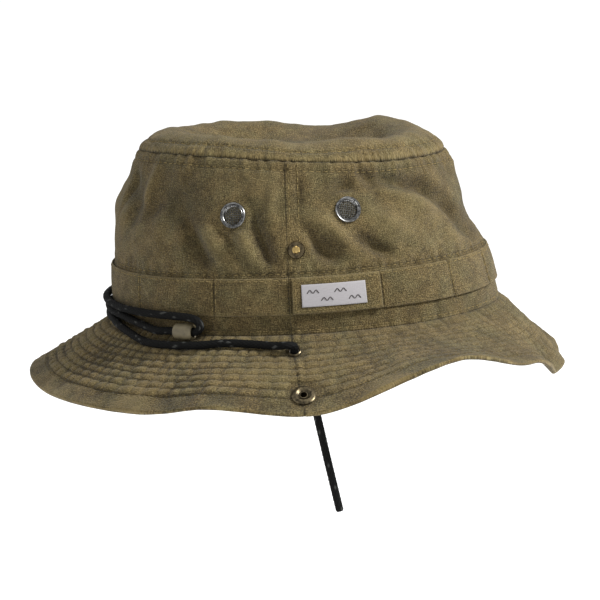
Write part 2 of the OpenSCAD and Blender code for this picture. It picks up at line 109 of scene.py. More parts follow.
# How far the brim's edge is below its seam, and how high the tip's crest is above its own, round the hat
BRIM_DROP = [
    (0, 36), (22, 31), (48, 26), (72, 30), (90, 31), (110, 28), (135, 27), (160, 27),
    (180, 26.5), (205, 29.5), (234, 30.5), (251, 25), (270, 30.5), (300, 8), (320, 19), (340, 34),
]
TIP_CREST = [
    (0, 10), (41, 13), (75, 5.5), (100, 10.5), (145, 11), (200, 8.5), (235, 9.8),
    (258, 9), (272, 7), (300, 11), (330, 10.5),
]


def ease(t):
    t = np.clip(t, 0.0, 1.0)
    return t * t * (3 - 2 * t)


def bell(distance, width):
    return np.exp(-((distance / width) ** 2))


def wrapped(distance, period):
    """The shortest way round a closed line, forwards or back."""
    return np.mod(distance + period / 2, period) - period / 2


def wave(table, angle):
    """Smooth periodic value between the entries of a table of (angle, value)."""
    stops = np.array([a for a, _ in table] + [table[0][0] + 360.0])
    values = np.array([v for _, v in table] + [table[0][1]], float)
    a = np.mod(angle, 360.0)
    i = np.clip(np.searchsorted(stops, a, side="right") - 1, 0, len(table) - 1)
    t = (a - stops[i]) / (stops[i + 1] - stops[i])
    return values[i] + (values[i + 1] - values[i]) * ease(t)


def cos_d(a):
    return np.cos(np.radians(a))


def sin_d(a):
    return np.sin(np.radians(a))


def wall_h(angle):
    brow = np.maximum(cos_d(angle - BROW_ANGLE), 0) ** 2
    return CROWN_H - CROWN_TILT * cos_d(angle) + BROW_LIFT * brow


def wall(angle, z):
    """A point of the crown wall's outer face at a height."""
    share = 1 - (1 - CROWN_TAPER) * np.maximum(z / wall_h(angle), 0) ** WALL_POWER
    shift = FOOT_SHIFT * np.clip(1 - z / wall_h(angle), 0, 1) ** 3 * cos_d(angle) ** 2
    return np.stack([
        HALF_LEN * share * cos_d(angle) + shift,
        HALF_WID * share * sin_d(angle),
        z + 0 * share,
    ], -1)


def brim(angle, u):
    """A point of the brim's top face, u out from the brim seam."""
    even = BRIM_W * math.sin(BRIM_SLOPE)
    fall = u * math.sin(BRIM_SLOPE) + (wave(BRIM_DROP, angle) - even) * (u / BRIM_W) ** WAVE_POWER
    out = np.sqrt(np.maximum(u * u - fall * fall, 0))
    shift = FOOT_SHIFT * cos_d(angle) ** 2 * np.clip(1 - u / BRIM_W, 0, 1)
    return np.stack([
        (HALF_LEN + out) * cos_d(angle) + shift,
        (HALF_WID + out) * sin_d(angle),
        -fall,
    ], -1)


def tip(angle, q):
    """A point of the dished tip, q in from the tip seam."""
    crest = wave(TIP_CREST, angle)
    rise = crest * np.sin(np.radians(90 * np.clip(q / CREST_IN, 0, 1))) ** 0.8
    into_dish = np.clip((q - CREST_IN) / DISH_WIDTH, 0, 1)
    sink = DISH_FLOOR + (crest - DISH_FLOOR) * (0.5 + 0.5 * np.cos(np.pi * into_dish))
    share = 1 - q / (HALF_WID * CROWN_TAPER)
    # towards the middle the rise and fall of the seam evens out
    level = CROWN_H + (wall_h(angle) - CROWN_H) * (1 - ease(1 - share))
    z = level + np.where(q < CREST_IN, rise, sink)
    return np.stack([
        HALF_LEN * CROWN_TAPER * share * cos_d(angle),
        HALF_WID * CROWN_TAPER * share * sin_d(angle),
        z,
    ], -1)


GIRTH_HALF_LEN = 93.0  # of the ring round which distances are measured, part way up the wall
GIRTH_HALF_WID = 77.0


def arc_table():
    a = np.linspace(90, 450, 1441)
    p = np.stack([GIRTH_HALF_LEN * cos_d(a), GIRTH_HALF_WID * sin_d(a)], -1)
    s = np.concatenate([[0], np.cumsum(np.linalg.norm(np.diff(p, axis=0), axis=1))])
    return a, s - np.interp(270.0, a, s)


ARC_ANGLES, ARC_LENGTHS = arc_table()
GIRTH = ARC_LENGTHS[-1] - ARC_LENGTHS[0]


def arc(angle):
    """Distance round the hat from the middle of its left side, growing towards the back."""
    a = np.mod(np.asarray(angle, float) - 90.0, 360.0) + 90.0
    return np.interp(a, ARC_ANGLES, ARC_LENGTHS)


def unit(v):
    return v / np.maximum(np.linalg.norm(v, axis=-1, keepdims=True), 1e-9)


def normals_of(grid, ring=False):
    """Unit normals of a grid of points, on the side of row direction x column direction."""
    if ring:
        along = np.roll(grid, -1, 0) - np.roll(grid, 1, 0)
    else:
        along = np.gradient(grid, axis=0)
    return unit(np.cross(along, np.gradient(grid, axis=1)))


def noise_of(points, size, seed=0.0):
    """Smooth noise from -1 to 1 over an array of points."""
    flat = np.asarray(points, float).reshape(-1, 3) / size + seed
    values = np.array([noise.noise(Vector(p)) for p in flat])
    return values.reshape(np.shape(points)[:-1])


# ---------------------------------------------------------------- meshes
def add_piece(name, verts, faces, material, body="root"):
    mesh = bpy.data.meshes.new(name)
    mesh.from_pydata((np.asarray(verts, float) * MM).tolist(), [], faces)
    mesh.materials.append(material)
    mesh.polygons.foreach_set("use_smooth", [True] * len(mesh.polygons))
    obj = bpy.data.objects.new(name, mesh)
    bpy.context.scene.collection.objects.link(obj)
    if body:
        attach(obj, body)
    return obj


def set_uv(obj, uv):
    layer = obj.data.uv_layers.new(name="cloth")
    loops = np.empty(len(obj.data.loops), np.int32)
    obj.data.loops.foreach_get("vertex_index", loops)
    layer.data.foreach_set("uv", (np.asarray(uv)[loops]).astype(np.float32).ravel())


def set_value(obj, name, values):
    attribute = obj.data.attributes.new(name, "FLOAT", "POINT")
    attribute.data.foreach_set("value", np.asarray(values, np.float32).ravel())


def quads(a, b, c, d):
    return np.stack([a.ravel(), b.ravel(), c.ravel(), d.ravel()], -1)


def shell(name, front, back, uv, material, body="root", ring=False, wear_and_painted_light=None, keep=None,
          close_end=False):
    """Closed cloth between two equal grids. front is on the side of row direction x column direction."""
    rows, cols = front.shape[:2]
    total = rows * cols
    index = np.arange(total).reshape(rows, cols)
    low, high = (index, np.roll(index, -1, 0)) if ring else (index[:-1], index[1:])
    faces = quads(low[:, :-1], high[:, :-1], high[:, 1:], low[:, 1:])
    if keep is not None:
        faces = faces[keep.ravel()]
    start, end = faces.ravel(), np.roll(faces, -1, 1).ravel()
    free = ~np.isin(start * total + end, end * total + start)
    if close_end:
        free &= ~((start % cols == cols - 1) & (end % cols == cols - 1))
    start, end = start[free], end[free]
    walls = np.stack([end, start, start + total, end + total], -1)
    polygons = np.concatenate([faces, faces[:, ::-1] + total, walls]).tolist()
    if close_end:
        polygons += [index[:, -1].tolist(), (index[::-1, -1] + total).tolist()]
    verts = np.concatenate([front.reshape(-1, 3), back.reshape(-1, 3)])
    used = np.zeros(2 * total, bool)
    used[np.concatenate([faces.ravel(), faces.ravel() + total])] = True
    new = np.cumsum(used) - 1
    polygons = [[int(new[i]) for i in face] for face in polygons]
    obj = add_piece(name, verts[used], polygons, material, body)
    set_uv(obj, np.concatenate([uv.reshape(-1, 2)] * 2)[used])
    # per vertex of the front face: pale wear at edges, painted light on crests and painted shade in grooves
    wear_and_painted_light = np.zeros((rows, cols)) if wear_and_painted_light is None else wear_and_painted_light
    set_value(obj, "wear_and_painted_light", np.concatenate([wear_and_painted_light.ravel(), np.zeros(total)])[used])
    return obj


def cut(front, back, holes):
    """Opens round holes in two equal grids. holes are (centre, radius); returns which squares stay."""
    keep = np.ones((front.shape[0] - 1, front.shape[1] - 1), bool)
    for centre, radius in holes:
        away = front - centre
        near = np.linalg.norm(away, axis=-1) < radius + 6
        if not near.any():
            continue
        i, j = np.argwhere(near)[np.linalg.norm(away[near], axis=-1).argmin()]
        axis = normals_of(front)[i, j]
        away = away - axis * (away @ axis)[..., None]
        distance = np.linalg.norm(away, axis=-1)
        inside = near & (distance < radius)
        square = inside[:-1, :-1] | inside[1:, :-1] | inside[:-1, 1:] | inside[1:, 1:]
        keep &= ~square
        touched = np.zeros_like(inside)
        for corner in (touched[:-1, :-1], touched[1:, :-1], touched[:-1, 1:], touched[1:, 1:]):
            corner |= square
        edge = touched & ~inside
        shift = away[edge] * (radius / distance[edge] - 1)[:, None]
        front[edge] += shift
        back[edge] += shift
    return keep


def sample(grid, rows, cols):
    """Points of a grid at fractional rows and columns."""
    rows = np.clip(rows, 0, grid.shape[0] - 1.001)
    cols = np.clip(cols, 0, grid.shape[1] - 1.001)
    i, j = rows.astype(int), cols.astype(int)
    r, c = (rows - i)[..., None], (cols - j)[..., None]
    near = grid[i, j] * (1 - c) + grid[i, j + 1] * c
    far = grid[i + 1, j] * (1 - c) + grid[i + 1, j + 1] * c
    return near * (1 - r) + far * r


STITCH_SIDES = 6
# A stitch from hole to hole: where its rings are, how deep they sink, in millimetres, and how wide they are
STITCH_RINGS = np.array([0, 0.12, 0.35, 0.65, 0.88, 1.0])
STITCH_SINK = np.array([-0.30, -0.04, 0, 0, -0.04, -0.30])
STITCH_GIRTH = np.array([0.45, 0.85, 1, 1, 0.85, 0.45])


def stitches(lines, length=2.7, gap=0.75, radius=0.23, lift=0.02):
    """Vertices and faces of threads along lines. A line is (points, normals), spaced about 1 mm."""
    all_verts = []
    for points, normals in lines:
        s = np.concatenate([[0], np.cumsum(np.linalg.norm(np.diff(points, axis=0), axis=1))])
        count = int((s[-1] + gap) / (length + gap))
        if count < 1:
            continue
        pitch = (s[-1] + gap) / count
        at = (np.arange(count) * pitch)[:, None] + STITCH_RINGS * (pitch - gap)
        p = np.stack([np.interp(at, s, points[:, k]) for k in range(3)], -1)
        n = unit(np.stack([np.interp(at, s, normals[:, k]) for k in range(3)], -1))
        heading = unit(np.gradient(p, axis=1))
        side = unit(np.cross(n, heading))
        centre = p + n * (lift + STITCH_SINK)[:, None]
        turn = 2 * np.pi * np.arange(STITCH_SIDES) / STITCH_SIDES
        ring = n[:, :, None] * np.sin(turn)[:, None] + side[:, :, None] * np.cos(turn)[:, None]
        girth = (STITCH_GIRTH * radius)[:, None, None]
        all_verts.append((centre[:, :, None] + ring * girth).reshape(-1, 3))
    verts = np.concatenate(all_verts)
    each = len(STITCH_RINGS) * STITCH_SIDES
    base = (np.arange(len(verts) // each) * each)[:, None]
    faces = []
    for low in range(0, each - STITCH_SIDES, STITCH_SIDES):
        high = low + STITCH_SIDES
        for k in range(STITCH_SIDES):
            n = (k + 1) % STITCH_SIDES
            faces.append(base + np.array([low + n, low + k, high + k, high + n]))
    polygons = np.concatenate(faces).tolist()
    polygons += (base + np.arange(STITCH_SIDES)).tolist()
    polygons += (base + each - 1 - np.arange(STITCH_SIDES)).tolist()
    return verts, polygons


def sew(name, lines, material, body="root", slot="canvas", **sizes):
    verts, faces = stitches(lines, **sizes)
    obj = add_piece(name, verts, faces, material, body)
    return obj


def grid_line(grid, rows, cols):
    """A line of points and normals on a grid's face."""
    return sample(grid, rows, cols), sample(normals_of(grid), rows, cols)


# ---------------------------------------------------------------- materials
class Nodes:
    """A small helper that builds a material's node tree."""

    def __init__(self, name):
        self.material = bpy.data.materials.new(name)
        self.material.use_nodes = True
        self.tree = self.material.node_tree
        self.shader = self.tree.nodes["Principled BSDF"]

    def feed(self, socket, value):
        """Gives an input a plain value, or links it to another node's output."""
        if isinstance(value, bpy.types.NodeSocket):
            self.tree.links.new(value, socket)
        else:
            socket.default_value = value

    def add(self, kind, **inputs):
        node = self.tree.nodes.new(kind)
        for key, value in inputs.items():
            self.feed(node.inputs[key.replace("_", " ")], value)
        return node

    def noise(self, kind, scale, detail=2.0, rough=0.5):
        """Noise over UV or Object coordinates. scale is one number, or one for each axis."""
        scale = scale if isinstance(scale, tuple) else (scale,) * 3
        source = self.tree.nodes.new("ShaderNodeTexCoord").outputs[kind]
        vector = self.add("ShaderNodeMapping", Vector=source, Scale=scale).outputs["Vector"]
        node = self.add("ShaderNodeTexNoise", Vector=vector, Scale=1.0, Detail=detail, Roughness=rough)
        return node.outputs["Fac"]

    def math(self, operation, a, b=0.0):
        node = self.tree.nodes.new("ShaderNodeMath")
        node.operation = operation
        self.feed(node.inputs[0], a)
        self.feed(node.inputs[1], b)
        return node.outputs[0]

    def add_scaled(self, total, value, weight, middle=0.0):
        """total + (value - middle) * weight"""
        value = self.math("SUBTRACT", value, middle) if middle else value
        return self.math("ADD", total, self.math("MULTIPLY", value, weight))

    def ramp(self, fac, stops):
        node = self.add("ShaderNodeValToRGB", Fac=fac)
        ramp = node.color_ramp
        while len(ramp.elements) < len(stops):
            ramp.elements.new(0.5)
        for element, (place, colour) in zip(ramp.elements, stops):
            element.position = place
            element.color = (*colour, 1)
        return node.outputs["Color"]

    def mix(self, fac, a, b, blend="MIX"):
        node = self.tree.nodes.new("ShaderNodeMix")
        node.data_type = "RGBA"
        node.blend_type = blend
        self.feed(node.inputs[0], fac)
        for key, colour in ((6, a), (7, b)):
            self.feed(node.inputs[key], (*colour, 1) if isinstance(colour, tuple) else colour)
        return node.outputs[2]

    def value(self, name):
        node = self.tree.nodes.new("ShaderNodeAttribute")
        node.attribute_name = name
        return node.outputs["Fac"]

    def set(self, **inputs):
        for key, value in inputs.items():
            self.feed(self.shader.inputs[key.replace("_", " ")], value)

    def bump(self, height, strength, distance):
        node = self.add("ShaderNodeBump", Height=height, Strength=strength, Distance=distance)
        self.set(Normal=node.outputs["Normal"])


def canvas_material(name, dark, mid, light, grain=1.0):
    """Washed plain-weave canvas: slubs along warp and weft, mixed threads and pale worn edges, with painted
    highlights on crests and painted shade in grooves.
    """
    m = Nodes(name)
    # the cloth coordinates are in millimetres
    warp = m.noise("UV", (1.9, 0.35, 1), 2.0, 0.6)
    weft = m.noise("UV", (0.32, 1.9, 1), 2.0, 0.6)
    pepper = m.noise("UV", (1.7, 1.7, 1), 2.0, 0.6)
    weave = m.add_scaled(m.math("MULTIPLY", m.math("ADD", warp, weft), 0.34), pepper, 0.72)
    weave = m.math("SUBTRACT", weave, 0.20)
    patches = m.noise("Object", 34, 4.0, 0.6)
    blotches = m.noise("Object", 150)
    tone = m.add_scaled(m.add_scaled(weave, patches, 0.10, 0.5), blotches, 0.24, 0.5)
    colour = m.ramp(tone, [(0.33, dark), (0.5, mid), (0.67, light)])
    # some of the dye has greened
    green = m.noise("Object", 60, 3.0, 0.6)
    tint = m.ramp(green, [(0.42, (1.0, 0.97, 0.94)), (0.62, (0.92, 0.98, 1.0))])
    colour = m.mix(1.0, colour, tint, "MULTIPLY")
    # above 0 the value is worn pale at edges and a painted highlight on crests; below 0 it is painted shade,
    # the dark of a groove
    wear_and_painted_light = m.value("wear_and_painted_light")
    worn_and_painted_light = m.mix(m.math("MULTIPLY", m.math("MAXIMUM", wear_and_painted_light, 0.0), 0.6), colour, light)
    painted_groove_shade = m.math("MINIMUM", m.math("MAXIMUM", m.math("MULTIPLY", wear_and_painted_light, -0.8), 0.0), 0.8)
    # painted shade: grooves and hollows take a darker copy of the dark colour
    m.set(Base_Color=m.mix(painted_groove_shade, worn_and_painted_light, tuple(c * 0.4 for c in dark)))
    m.set(Roughness=0.95, Specular_IOR_Level=0.12, Sheen_Weight=0.08, Sheen_Roughness=0.5)
    m.bump(weave, grain, 0.0014)
    return m.material


def thread_material(name, dark, light):
    m = Nodes(name)
    twist = m.noise("Object", 1500, 1.0)
    m.set(Base_Color=m.ramp(twist, [(0.35, dark), (0.65, light)]), Roughness=0.85)
    m.set(Specular_IOR_Level=0.1)
    m.bump(twist, 0.4, 0.0002)
    return m.material


def metal_material(name, dark, light, rough, wear_scale):
    """Plated metal, darker in patches at random, with fine scratches."""
    m = Nodes(name)
    cloud = m.noise("Object", wear_scale, 4.0, 0.6)
    fine = m.noise("Object", (2600, 900, 2600))
    m.set(Base_Color=m.ramp(cloud, [(0.35, dark), (0.65, light)]), Metallic=1.0)
    m.set(Roughness=m.add_scaled(rough, fine, 0.18))
    m.bump(fine, 0.12, 0.0002)
    return m.material


STUD_HEAD_R = 1.95


def stud_material(name, head):
    """Dark antique flange with a bright brass head. head is the middle of the head, in metres."""
    m = Nodes(name)
    place = m.tree.nodes.new("ShaderNodeTexCoord").outputs["Object"]
    away = m.tree.nodes.new("ShaderNodeVectorMath")
    away.operation = "DISTANCE"
    m.tree.links.new(place, away.inputs[0])
    away.inputs[1].default_value = head
    cloud = m.noise("Object", 520, 4.0, 0.6)
    dark = m.ramp(cloud, [(0.35, (0.035, 0.028, 0.018)), (0.65, (0.16, 0.125, 0.07))])
    bright = m.ramp(cloud, [(0.3, (0.32, 0.22, 0.08)), (0.7, (0.62, 0.45, 0.18))])
    edge = m.math("GREATER_THAN", away.outputs["Value"], STUD_HEAD_R * MM)
    m.set(Base_Color=m.mix(edge, bright, dark), Metallic=1.0, Roughness=0.22)
    return m.material


def cord_material():
    m = Nodes("cord_braid")
    fuzz = m.noise("Object", 1800)
    base = m.ramp(fuzz, [(0.3, (0.001, 0.001, 0.001)), (0.7, (0.0028, 0.0028, 0.0026))])
    # pale flecks in the yarn, and a faint painted sheen on the braid's raised strands
    m.set(Base_Color=m.mix(m.value("fleck_and_painted_sheen"), base, (0.042, 0.043, 0.04)))
    m.set(Roughness=0.75, Specular_IOR_Level=0.1)
    m.bump(fuzz, 0.3, 0.0002)
    return m.material


def label_material(name, colour):
    m = Nodes(name)
    rows = m.noise("UV", (0.4, 5.0, 1), 1.0)
    columns = m.noise("UV", (5.0, 0.6, 1), 1.0)
    weave = m.add_scaled(m.math("MULTIPLY", rows, 0.6), columns, 0.4)
    m.set(Base_Color=m.ramp(weave, [(0.3, tuple(c * 0.82 for c in colour)), (0.7, colour)]))
    m.set(Roughness=0.55, Sheen_Weight=0.2, Specular_IOR_Level=0.4)
    m.bump(weave, 0.35, 0.0003)
    return m.material


def plain_material(name, dark, light, rough, scale):
    m = Nodes(name)
    grain = m.noise("Object", scale, 3.0)
    m.set(Base_Color=m.ramp(grain, [(0.3, dark), (0.7, light)]), Roughness=rough)
    m.bump(grain, 0.25, 0.0003)
    return m.material


CANVAS = canvas_material("canvas", (0.024, 0.0175, 0.006), (0.086, 0.0635, 0.0255), (0.19, 0.145, 0.064))
CANVAS_INNER = canvas_material(
    "canvas_inner", (0.05, 0.038, 0.017), (0.09, 0.07, 0.033), (0.145, 0.115, 0.06), 0.7
)
THREAD = thread_material("thread", (0.075, 0.056, 0.023), (0.22, 0.165, 0.072))
THREAD_DULL = thread_material("thread_dull", (0.045, 0.035, 0.015), (0.105, 0.08, 0.036))
SILVER = metal_material("vent_plating", (0.05, 0.05, 0.05), (0.24, 0.24, 0.235), 0.24, 700)
MESH_WIRE = metal_material("vent_wire", (0.06, 0.06, 0.055), (0.14, 0.14, 0.13), 0.4, 900)
BRASS = metal_material("antique_brass", (0.03, 0.025, 0.017), (0.15, 0.12, 0.07), 0.28, 520)
CORD = cord_material()
LABEL = label_material("label_satin", (0.285, 0.272, 0.278))
CARE = label_material("care_tape", (0.36, 0.36, 0.345))
MARK = plain_material("label_thread", (0.02, 0.018, 0.018), (0.06, 0.05, 0.05), 0.8, 1500)
TOGGLE = plain_material("toggle_plastic", (0.075, 0.06, 0.031), (0.12, 0.098, 0.052), 0.6, 420)

# ---------------------------------------------------------------- cords
CORD_R = 2.05
CORD_CARRIERS = 8
CORD_SIDES = 48
CORD_RING = 0.4
BRAID_SLANT = 0.62
BRAID_DEPTH = 0.42

# The same routes as the CAD cord's
ROUTE_LEFT = [
    (-4, -91.6, -6.6), (-4, -93.5, -3.5), (-7.5, -95, -2.5), (-13, -92.5, -3), (-23, -88.5, -2.5),
    (-36.5, -84.5, -2), (-50.5, -81, -3), (-62.5, -75.5, -3.5), (-72.9, -69, -3.5), (-80, -60, -3),
    (-86.7, -48.5, -1), (-92.5, -35.5, 0.5), (-96.1, -22, 1.5), (-98.5, -10.5, 1.5), (-99.5, 0, 1.5),
]
ROUTE_RIGHT = [
    (-99.5, 0.3, 1.5), (-98.5, 10.5, 1.5), (-96.1, 22, 1.5), (-92.5, 35.5, 0.5), (-86.7, 48.5, -1),
    (-80.5, 60, -2.5), (-72.9, 69, -3.5), (-62.5, 76.5, -3.5), (-55.5, 80, -3.5), (-49.5, 82.5, -3.5),
    (-45, 81.5, -0.5), (-46.5, 79, 2.2), (-51.8, 76.1, 2.5), (-57.5, 73, 2.5), (-66, 68.3, 2.5),
    (-72, 65, 2.5), (-81.8, 50.5, 4), (-89.4, 38, 5.4), (-95.2, 25, 5.8), (-98.2, 12.5, 5.8),
    (-99.5, 0, 5.8), (-98.2, -12.5, 5.8), (-95.2, -25, 5.8), (-89.4, -38, 5.4), (-81.8, -50.5, 4),
    (-72, -65, 2.5), (-66, -68.3, 2.5), (-57.5, -73, 2.5), (-53.2, -75.4, 2.5), (-50.6, -76.9, 3.4),
    (-49.4, -77.8, 5.9), (-51, -77.2, 8.6), (-55, -74.2, 9.6), (-62, -69.3, 9.9), (-70.5, -63.3, 10),
    (-80.5, -53.3, 10), (-89.4, -40.6, 10), (-95.7, -26.7, 10.2), (-99.2, -13.5, 10.2), (-100.5, 0, 10.2),
    (-99.2, 13.5, 10.2), (-95.7, 26.7, 10.2), (-89.4, 40.6, 10), (-80.5, 53.3, 10), (-70.5, 63.3, 10),
    (-58, 71.8, 9.6), (-47.5, 77.6, 8.2), (-37, 82.5, 4.8), (-26.5, 87, -1.4), (-15, 90.5, -3),
    (-7.5, 95, -2.5), (-4, 93.5, -3.5), (-4, 91.6, -6.6),
]
ROUTE_END_LEFT = [
    (-4, -91.2, -7), (-4, -89.6, -9.2), (-3, -88.8, -14), (0.5, -88.5, -22), (4, -89, -32),
    (6.5, -89.5, -45), (9.5, -90, -62), (14.3, -90, -88),
]
ROUTE_END_RIGHT = [
    (-4, 91.2, -7), (-4, 89.6, -9.2), (-3, 88.8, -14), (-0.5, 88.5, -22), (2, 89, -32), (3, 89.5, -45),
    (4, 90, -60), (4.5, 90, -78),
]


def smooth_route(points, step):
    """Even points along a smooth curve through a route, and how far along it each one is."""
    p = np.array(points, float)
    p = np.vstack([2 * p[0] - p[1], p, 2 * p[-1] - p[-2]])
    fine = []
    for a, b, c, d in zip(p, p[1:], p[2:], p[3:]):
        for t in np.linspace(0, 1, 24, endpoint=False):
            bend = (2 * a - 5 * b + 4 * c - d) * t**2 + (3 * b - a - 3 * c + d) * t**3
            fine.append((2 * b + (c - a) * t + bend) / 2)
    fine = np.array([*fine, p[-2]])
    s = np.concatenate([[0], np.cumsum(np.linalg.norm(np.diff(fine, axis=0), axis=1))])
    even = np.linspace(0, s[-1], max(2, round(s[-1] / step)) + 1)
    return np.stack([np.interp(even, s, fine[:, k]) for k in range(3)], -1), even


def frames_along(path):
    """Two unit vectors across each step of a path, carried along without twist."""
    heading = unit(np.gradient(path, axis=0))
    side = np.zeros_like(path)
    up = np.array([0.3, 0.2, 1.0])
    for i, h in enumerate(heading):
        up = up - h * (up @ h)
        up = up / np.linalg.norm(up)
        side[i] = up
    return side, np.cross(heading, side)


def braid(around, along):
    """Height and flecks of a round braid. around and along count its strands."""
    one = around + along
    two = around - along
    over = (np.floor(one) + np.floor(two)) % 2 == 0
    across = np.where(over, one, two) % 1.0
    along_strand = np.where(over, two, one) % 1.0
    height = np.sin(np.pi * across) ** 0.6 * (0.55 + 0.45 * np.sin(np.pi * along_strand))
    strand = np.where(over, np.floor(one), np.floor(two) + 3) % CORD_CARRIERS
    lane = np.floor(np.where(over, two, one))
    fleck_and_painted_sheen = (strand % 4 == 2) & (lane % 5 == 0)
    return height, fleck_and_painted_sheen


def cord_piece(name, route, node, far_end):
    path, s = smooth_route(route, CORD_RING)
    side, other = frames_along(path)
    k = np.arange(CORD_SIDES) / CORD_SIDES
    pitch = 2 * math.pi * CORD_R / CORD_CARRIERS
    around = np.tile(k * CORD_CARRIERS, (len(path), 1))
    along = np.repeat(s[:, None] / pitch * BRAID_SLANT, CORD_SIDES, 1)
    height, fleck_and_painted_sheen = braid(around, along)
    radius = CORD_R - BRAID_DEPTH + BRAID_DEPTH * height
    ends = np.minimum(s, s[-1] - s)[:, None]
    radius = radius * (1 - 0.12 * np.exp(-ends / 0.5)) if far_end == "bare" else radius
    turn = 2 * math.pi * k
    rings = path[:, None] + radius[..., None] * (
        side[:, None] * np.cos(turn)[None, :, None] + other[:, None] * np.sin(turn)[None, :, None]
    )
    count = len(path)
    index = np.arange(count * CORD_SIDES).reshape(count, CORD_SIDES)
    nxt = np.roll(index, -1, 1)
    faces = quads(index[:-1], nxt[:-1], nxt[1:], index[1:]).tolist()
    faces += [index[0, ::-1].tolist(), index[-1].tolist()]
    obj = add_piece(name, rings.reshape(-1, 3), faces, CORD, None)
    # flecks of pale yarn, plus a faint painted sheen that grows with the strands' height
    set_value(obj, "fleck_and_painted_sheen", np.maximum(0.8 * fleck_and_painted_sheen, 0.06 * height ** 2))
    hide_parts(node)
    return obj


cord_left = cord_piece("chin_cord_left", ROUTE_LEFT, "cord_run_left", "object")
cord_right = cord_piece("chin_cord_right", ROUTE_RIGHT, "cord_run_right", "object")
end_left = cord_piece("chin_cord_end_left", ROUTE_END_LEFT, "cord_end_left", "bare")
end_right = cord_piece("chin_cord_end_right", ROUTE_END_RIGHT, "cord_end_right", "bare")


def follow_fold(obj):
    """Bakes obj's placement into its mesh."""
    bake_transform(obj)


follow_fold(cord_left)
follow_fold(cord_right)
for piece, side_name, sign in ((end_left, "left", -1), (end_right, "right", 1)):
    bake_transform(piece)

# ---------------------------------------------------------------- places of the trim
def point_on_wall(angle, z):
    return wall(np.array(float(angle)), np.array(float(z)))


def wall_share(z):
    """How far the wall has drawn in at a height."""
    return 1 - (1 - CROWN_TAPER) * (z / CROWN_H) ** WALL_POWER


STUD_LEFT = 270 + math.degrees(math.asin(SNAP_X / (HALF_LEN * wall_share(STUD_Z))))
STUD_ANGLES = {"left": STUD_LEFT, "right": 360 - STUD_LEFT}
VENT_CUT_R = 5.2
STUD_CUT_R = 1.7
WALL_HOLES = [(point_on_wall(a, VENT_Z), VENT_CUT_R) for a in VENTS.values()]
WALL_HOLES += [(point_on_wall(a, STUD_Z), STUD_CUT_R) for a in STUD_ANGLES.values()]


def point_on_brim(x, u, side):
    return np.array([
        x,
        side * (HALF_WID + u * math.cos(BRIM_SLOPE)),
        -u * math.sin(BRIM_SLOPE),
    ])


EYELET_CUT_R = 2.85
SNAP_CUT_R = 2.2
EYELETS = {side: point_on_brim(EYELET_X, EYELET_U, side) for side in (-1, 1)}
SNAPS = {side: point_on_brim(SNAP_X, SNAP_U, side) for side in (-1, 1)}
BRIM_HOLES = {side: [(EYELETS[side], EYELET_CUT_R), (SNAPS[side], SNAP_CUT_R)] for side in (-1, 1)}
CALM_WIDTH = 4.5


def calm(points, places):
    """0 at the metal trim and 1 away from it. places are (centre, flat radius)."""
    share = np.ones(points.shape[:-1])
    for centre, radius in places:
        share *= ease((np.linalg.norm(points - centre, axis=-1) - radius) / CALM_WIDTH)
    return share


WALL_FLATS = [(point_on_wall(a, VENT_Z), 7.0) for a in VENTS.values()]
WALL_FLATS += [(point_on_wall(a, STUD_Z), 5.0) for a in STUD_ANGLES.values()]
BRIM_FLATS = []
for side in (-1, 1):
    # the quilting also lies flat where a toggle rests on it
    toggle = np.array((TOGGLE_X, side * TOGGLE_Y, TOGGLE_Z))
    BRIM_FLATS += [(EYELETS[side], 4.2), (SNAPS[side], 6.4), (toggle, 7.0)]

# ---------------------------------------------------------------- crown
# Soft folds of the crown wall: distance round, height, half length, half width, slope in degrees, depth
FOLDS = [
    (-51, 44, 14, 3.8, -54, -2.2), (-43, 46, 14, 6, -54, 1.2), (-62, 62, 16, 9, -30, -1.3),
    (-17.5, 46, 15, 3.8, -66, -2.3), (-27, 47, 12, 5.5, -60, 1.2), (-33, 47, 8, 3, -42, -0.9),
    (13, 40, 13, 5, -50, -2.2), (21, 48, 12, 5, -42, 1.3), (39.5, 39, 12, 3.8, -31, -2.1),
    (50, 50, 15, 6, -28, 1.0), (27, 69, 7, 4.5, 5, -1.3), (41, 74, 7, 3.6, -52, -1.4),
    (60, 69, 14, 4, -16, -2.0), (80, 62, 12, 5, -36, -2.2), (94, 52, 11, 5, -54, -1.8),
    (66, 58, 15, 6, -25, 1.3), (-88, 71, 13, 4, 80, 1.0), (-84, 60, 10, 5, 40, -1.0),
    (-12, 66, 8, 3.5, 80, 0.7), (2, 68, 12, 3, 88, -0.7), (104, 40, 12, 6, -30, -1.2),
    (130, 71, 16, 7, 0, 1.3), (130, 48, 16, 10, 0, -1.8), (-134, 55, 26, 15, 0, 1.4),
    (-114, 66, 14, 3, 80, -1.1), (-104, 66, 14, 4, 80, 0.7),
]
FOLD_DEPTH = 1.25


def far_folds():
    """More folds of the same kind, where the crown turns away to the front, back and right."""
    rng = random.Random(11)
    made = []
    for _ in range(20):
        s = rng.uniform(112, 440)
        made.append((s, rng.uniform(40, 74), rng.uniform(8, 16), rng.uniform(3.5, 7),
                     rng.uniform(-70, 70), rng.choice([-1, -1, 1]) * rng.uniform(0.8, 1.8)))
    return made


ALL_FOLDS = FOLDS + far_folds()


def fold_field(s, z):
    total = np.zeros_like(s)
    for fold_s, fold_z, long, wide, slope, depth in ALL_FOLDS:
        ds, dz = wrapped(s - fold_s, GIRTH), z - fold_z
        c, n = math.cos(math.radians(slope)), math.sin(math.radians(slope))
        total += FOLD_DEPTH * depth * bell(ds * c + dz * n, long) * bell(dz * c - ds * n, wide)
    return total


SEAM_ROWS = (1.7, 6.2)
SEAM_ALLOWANCE = 8.0


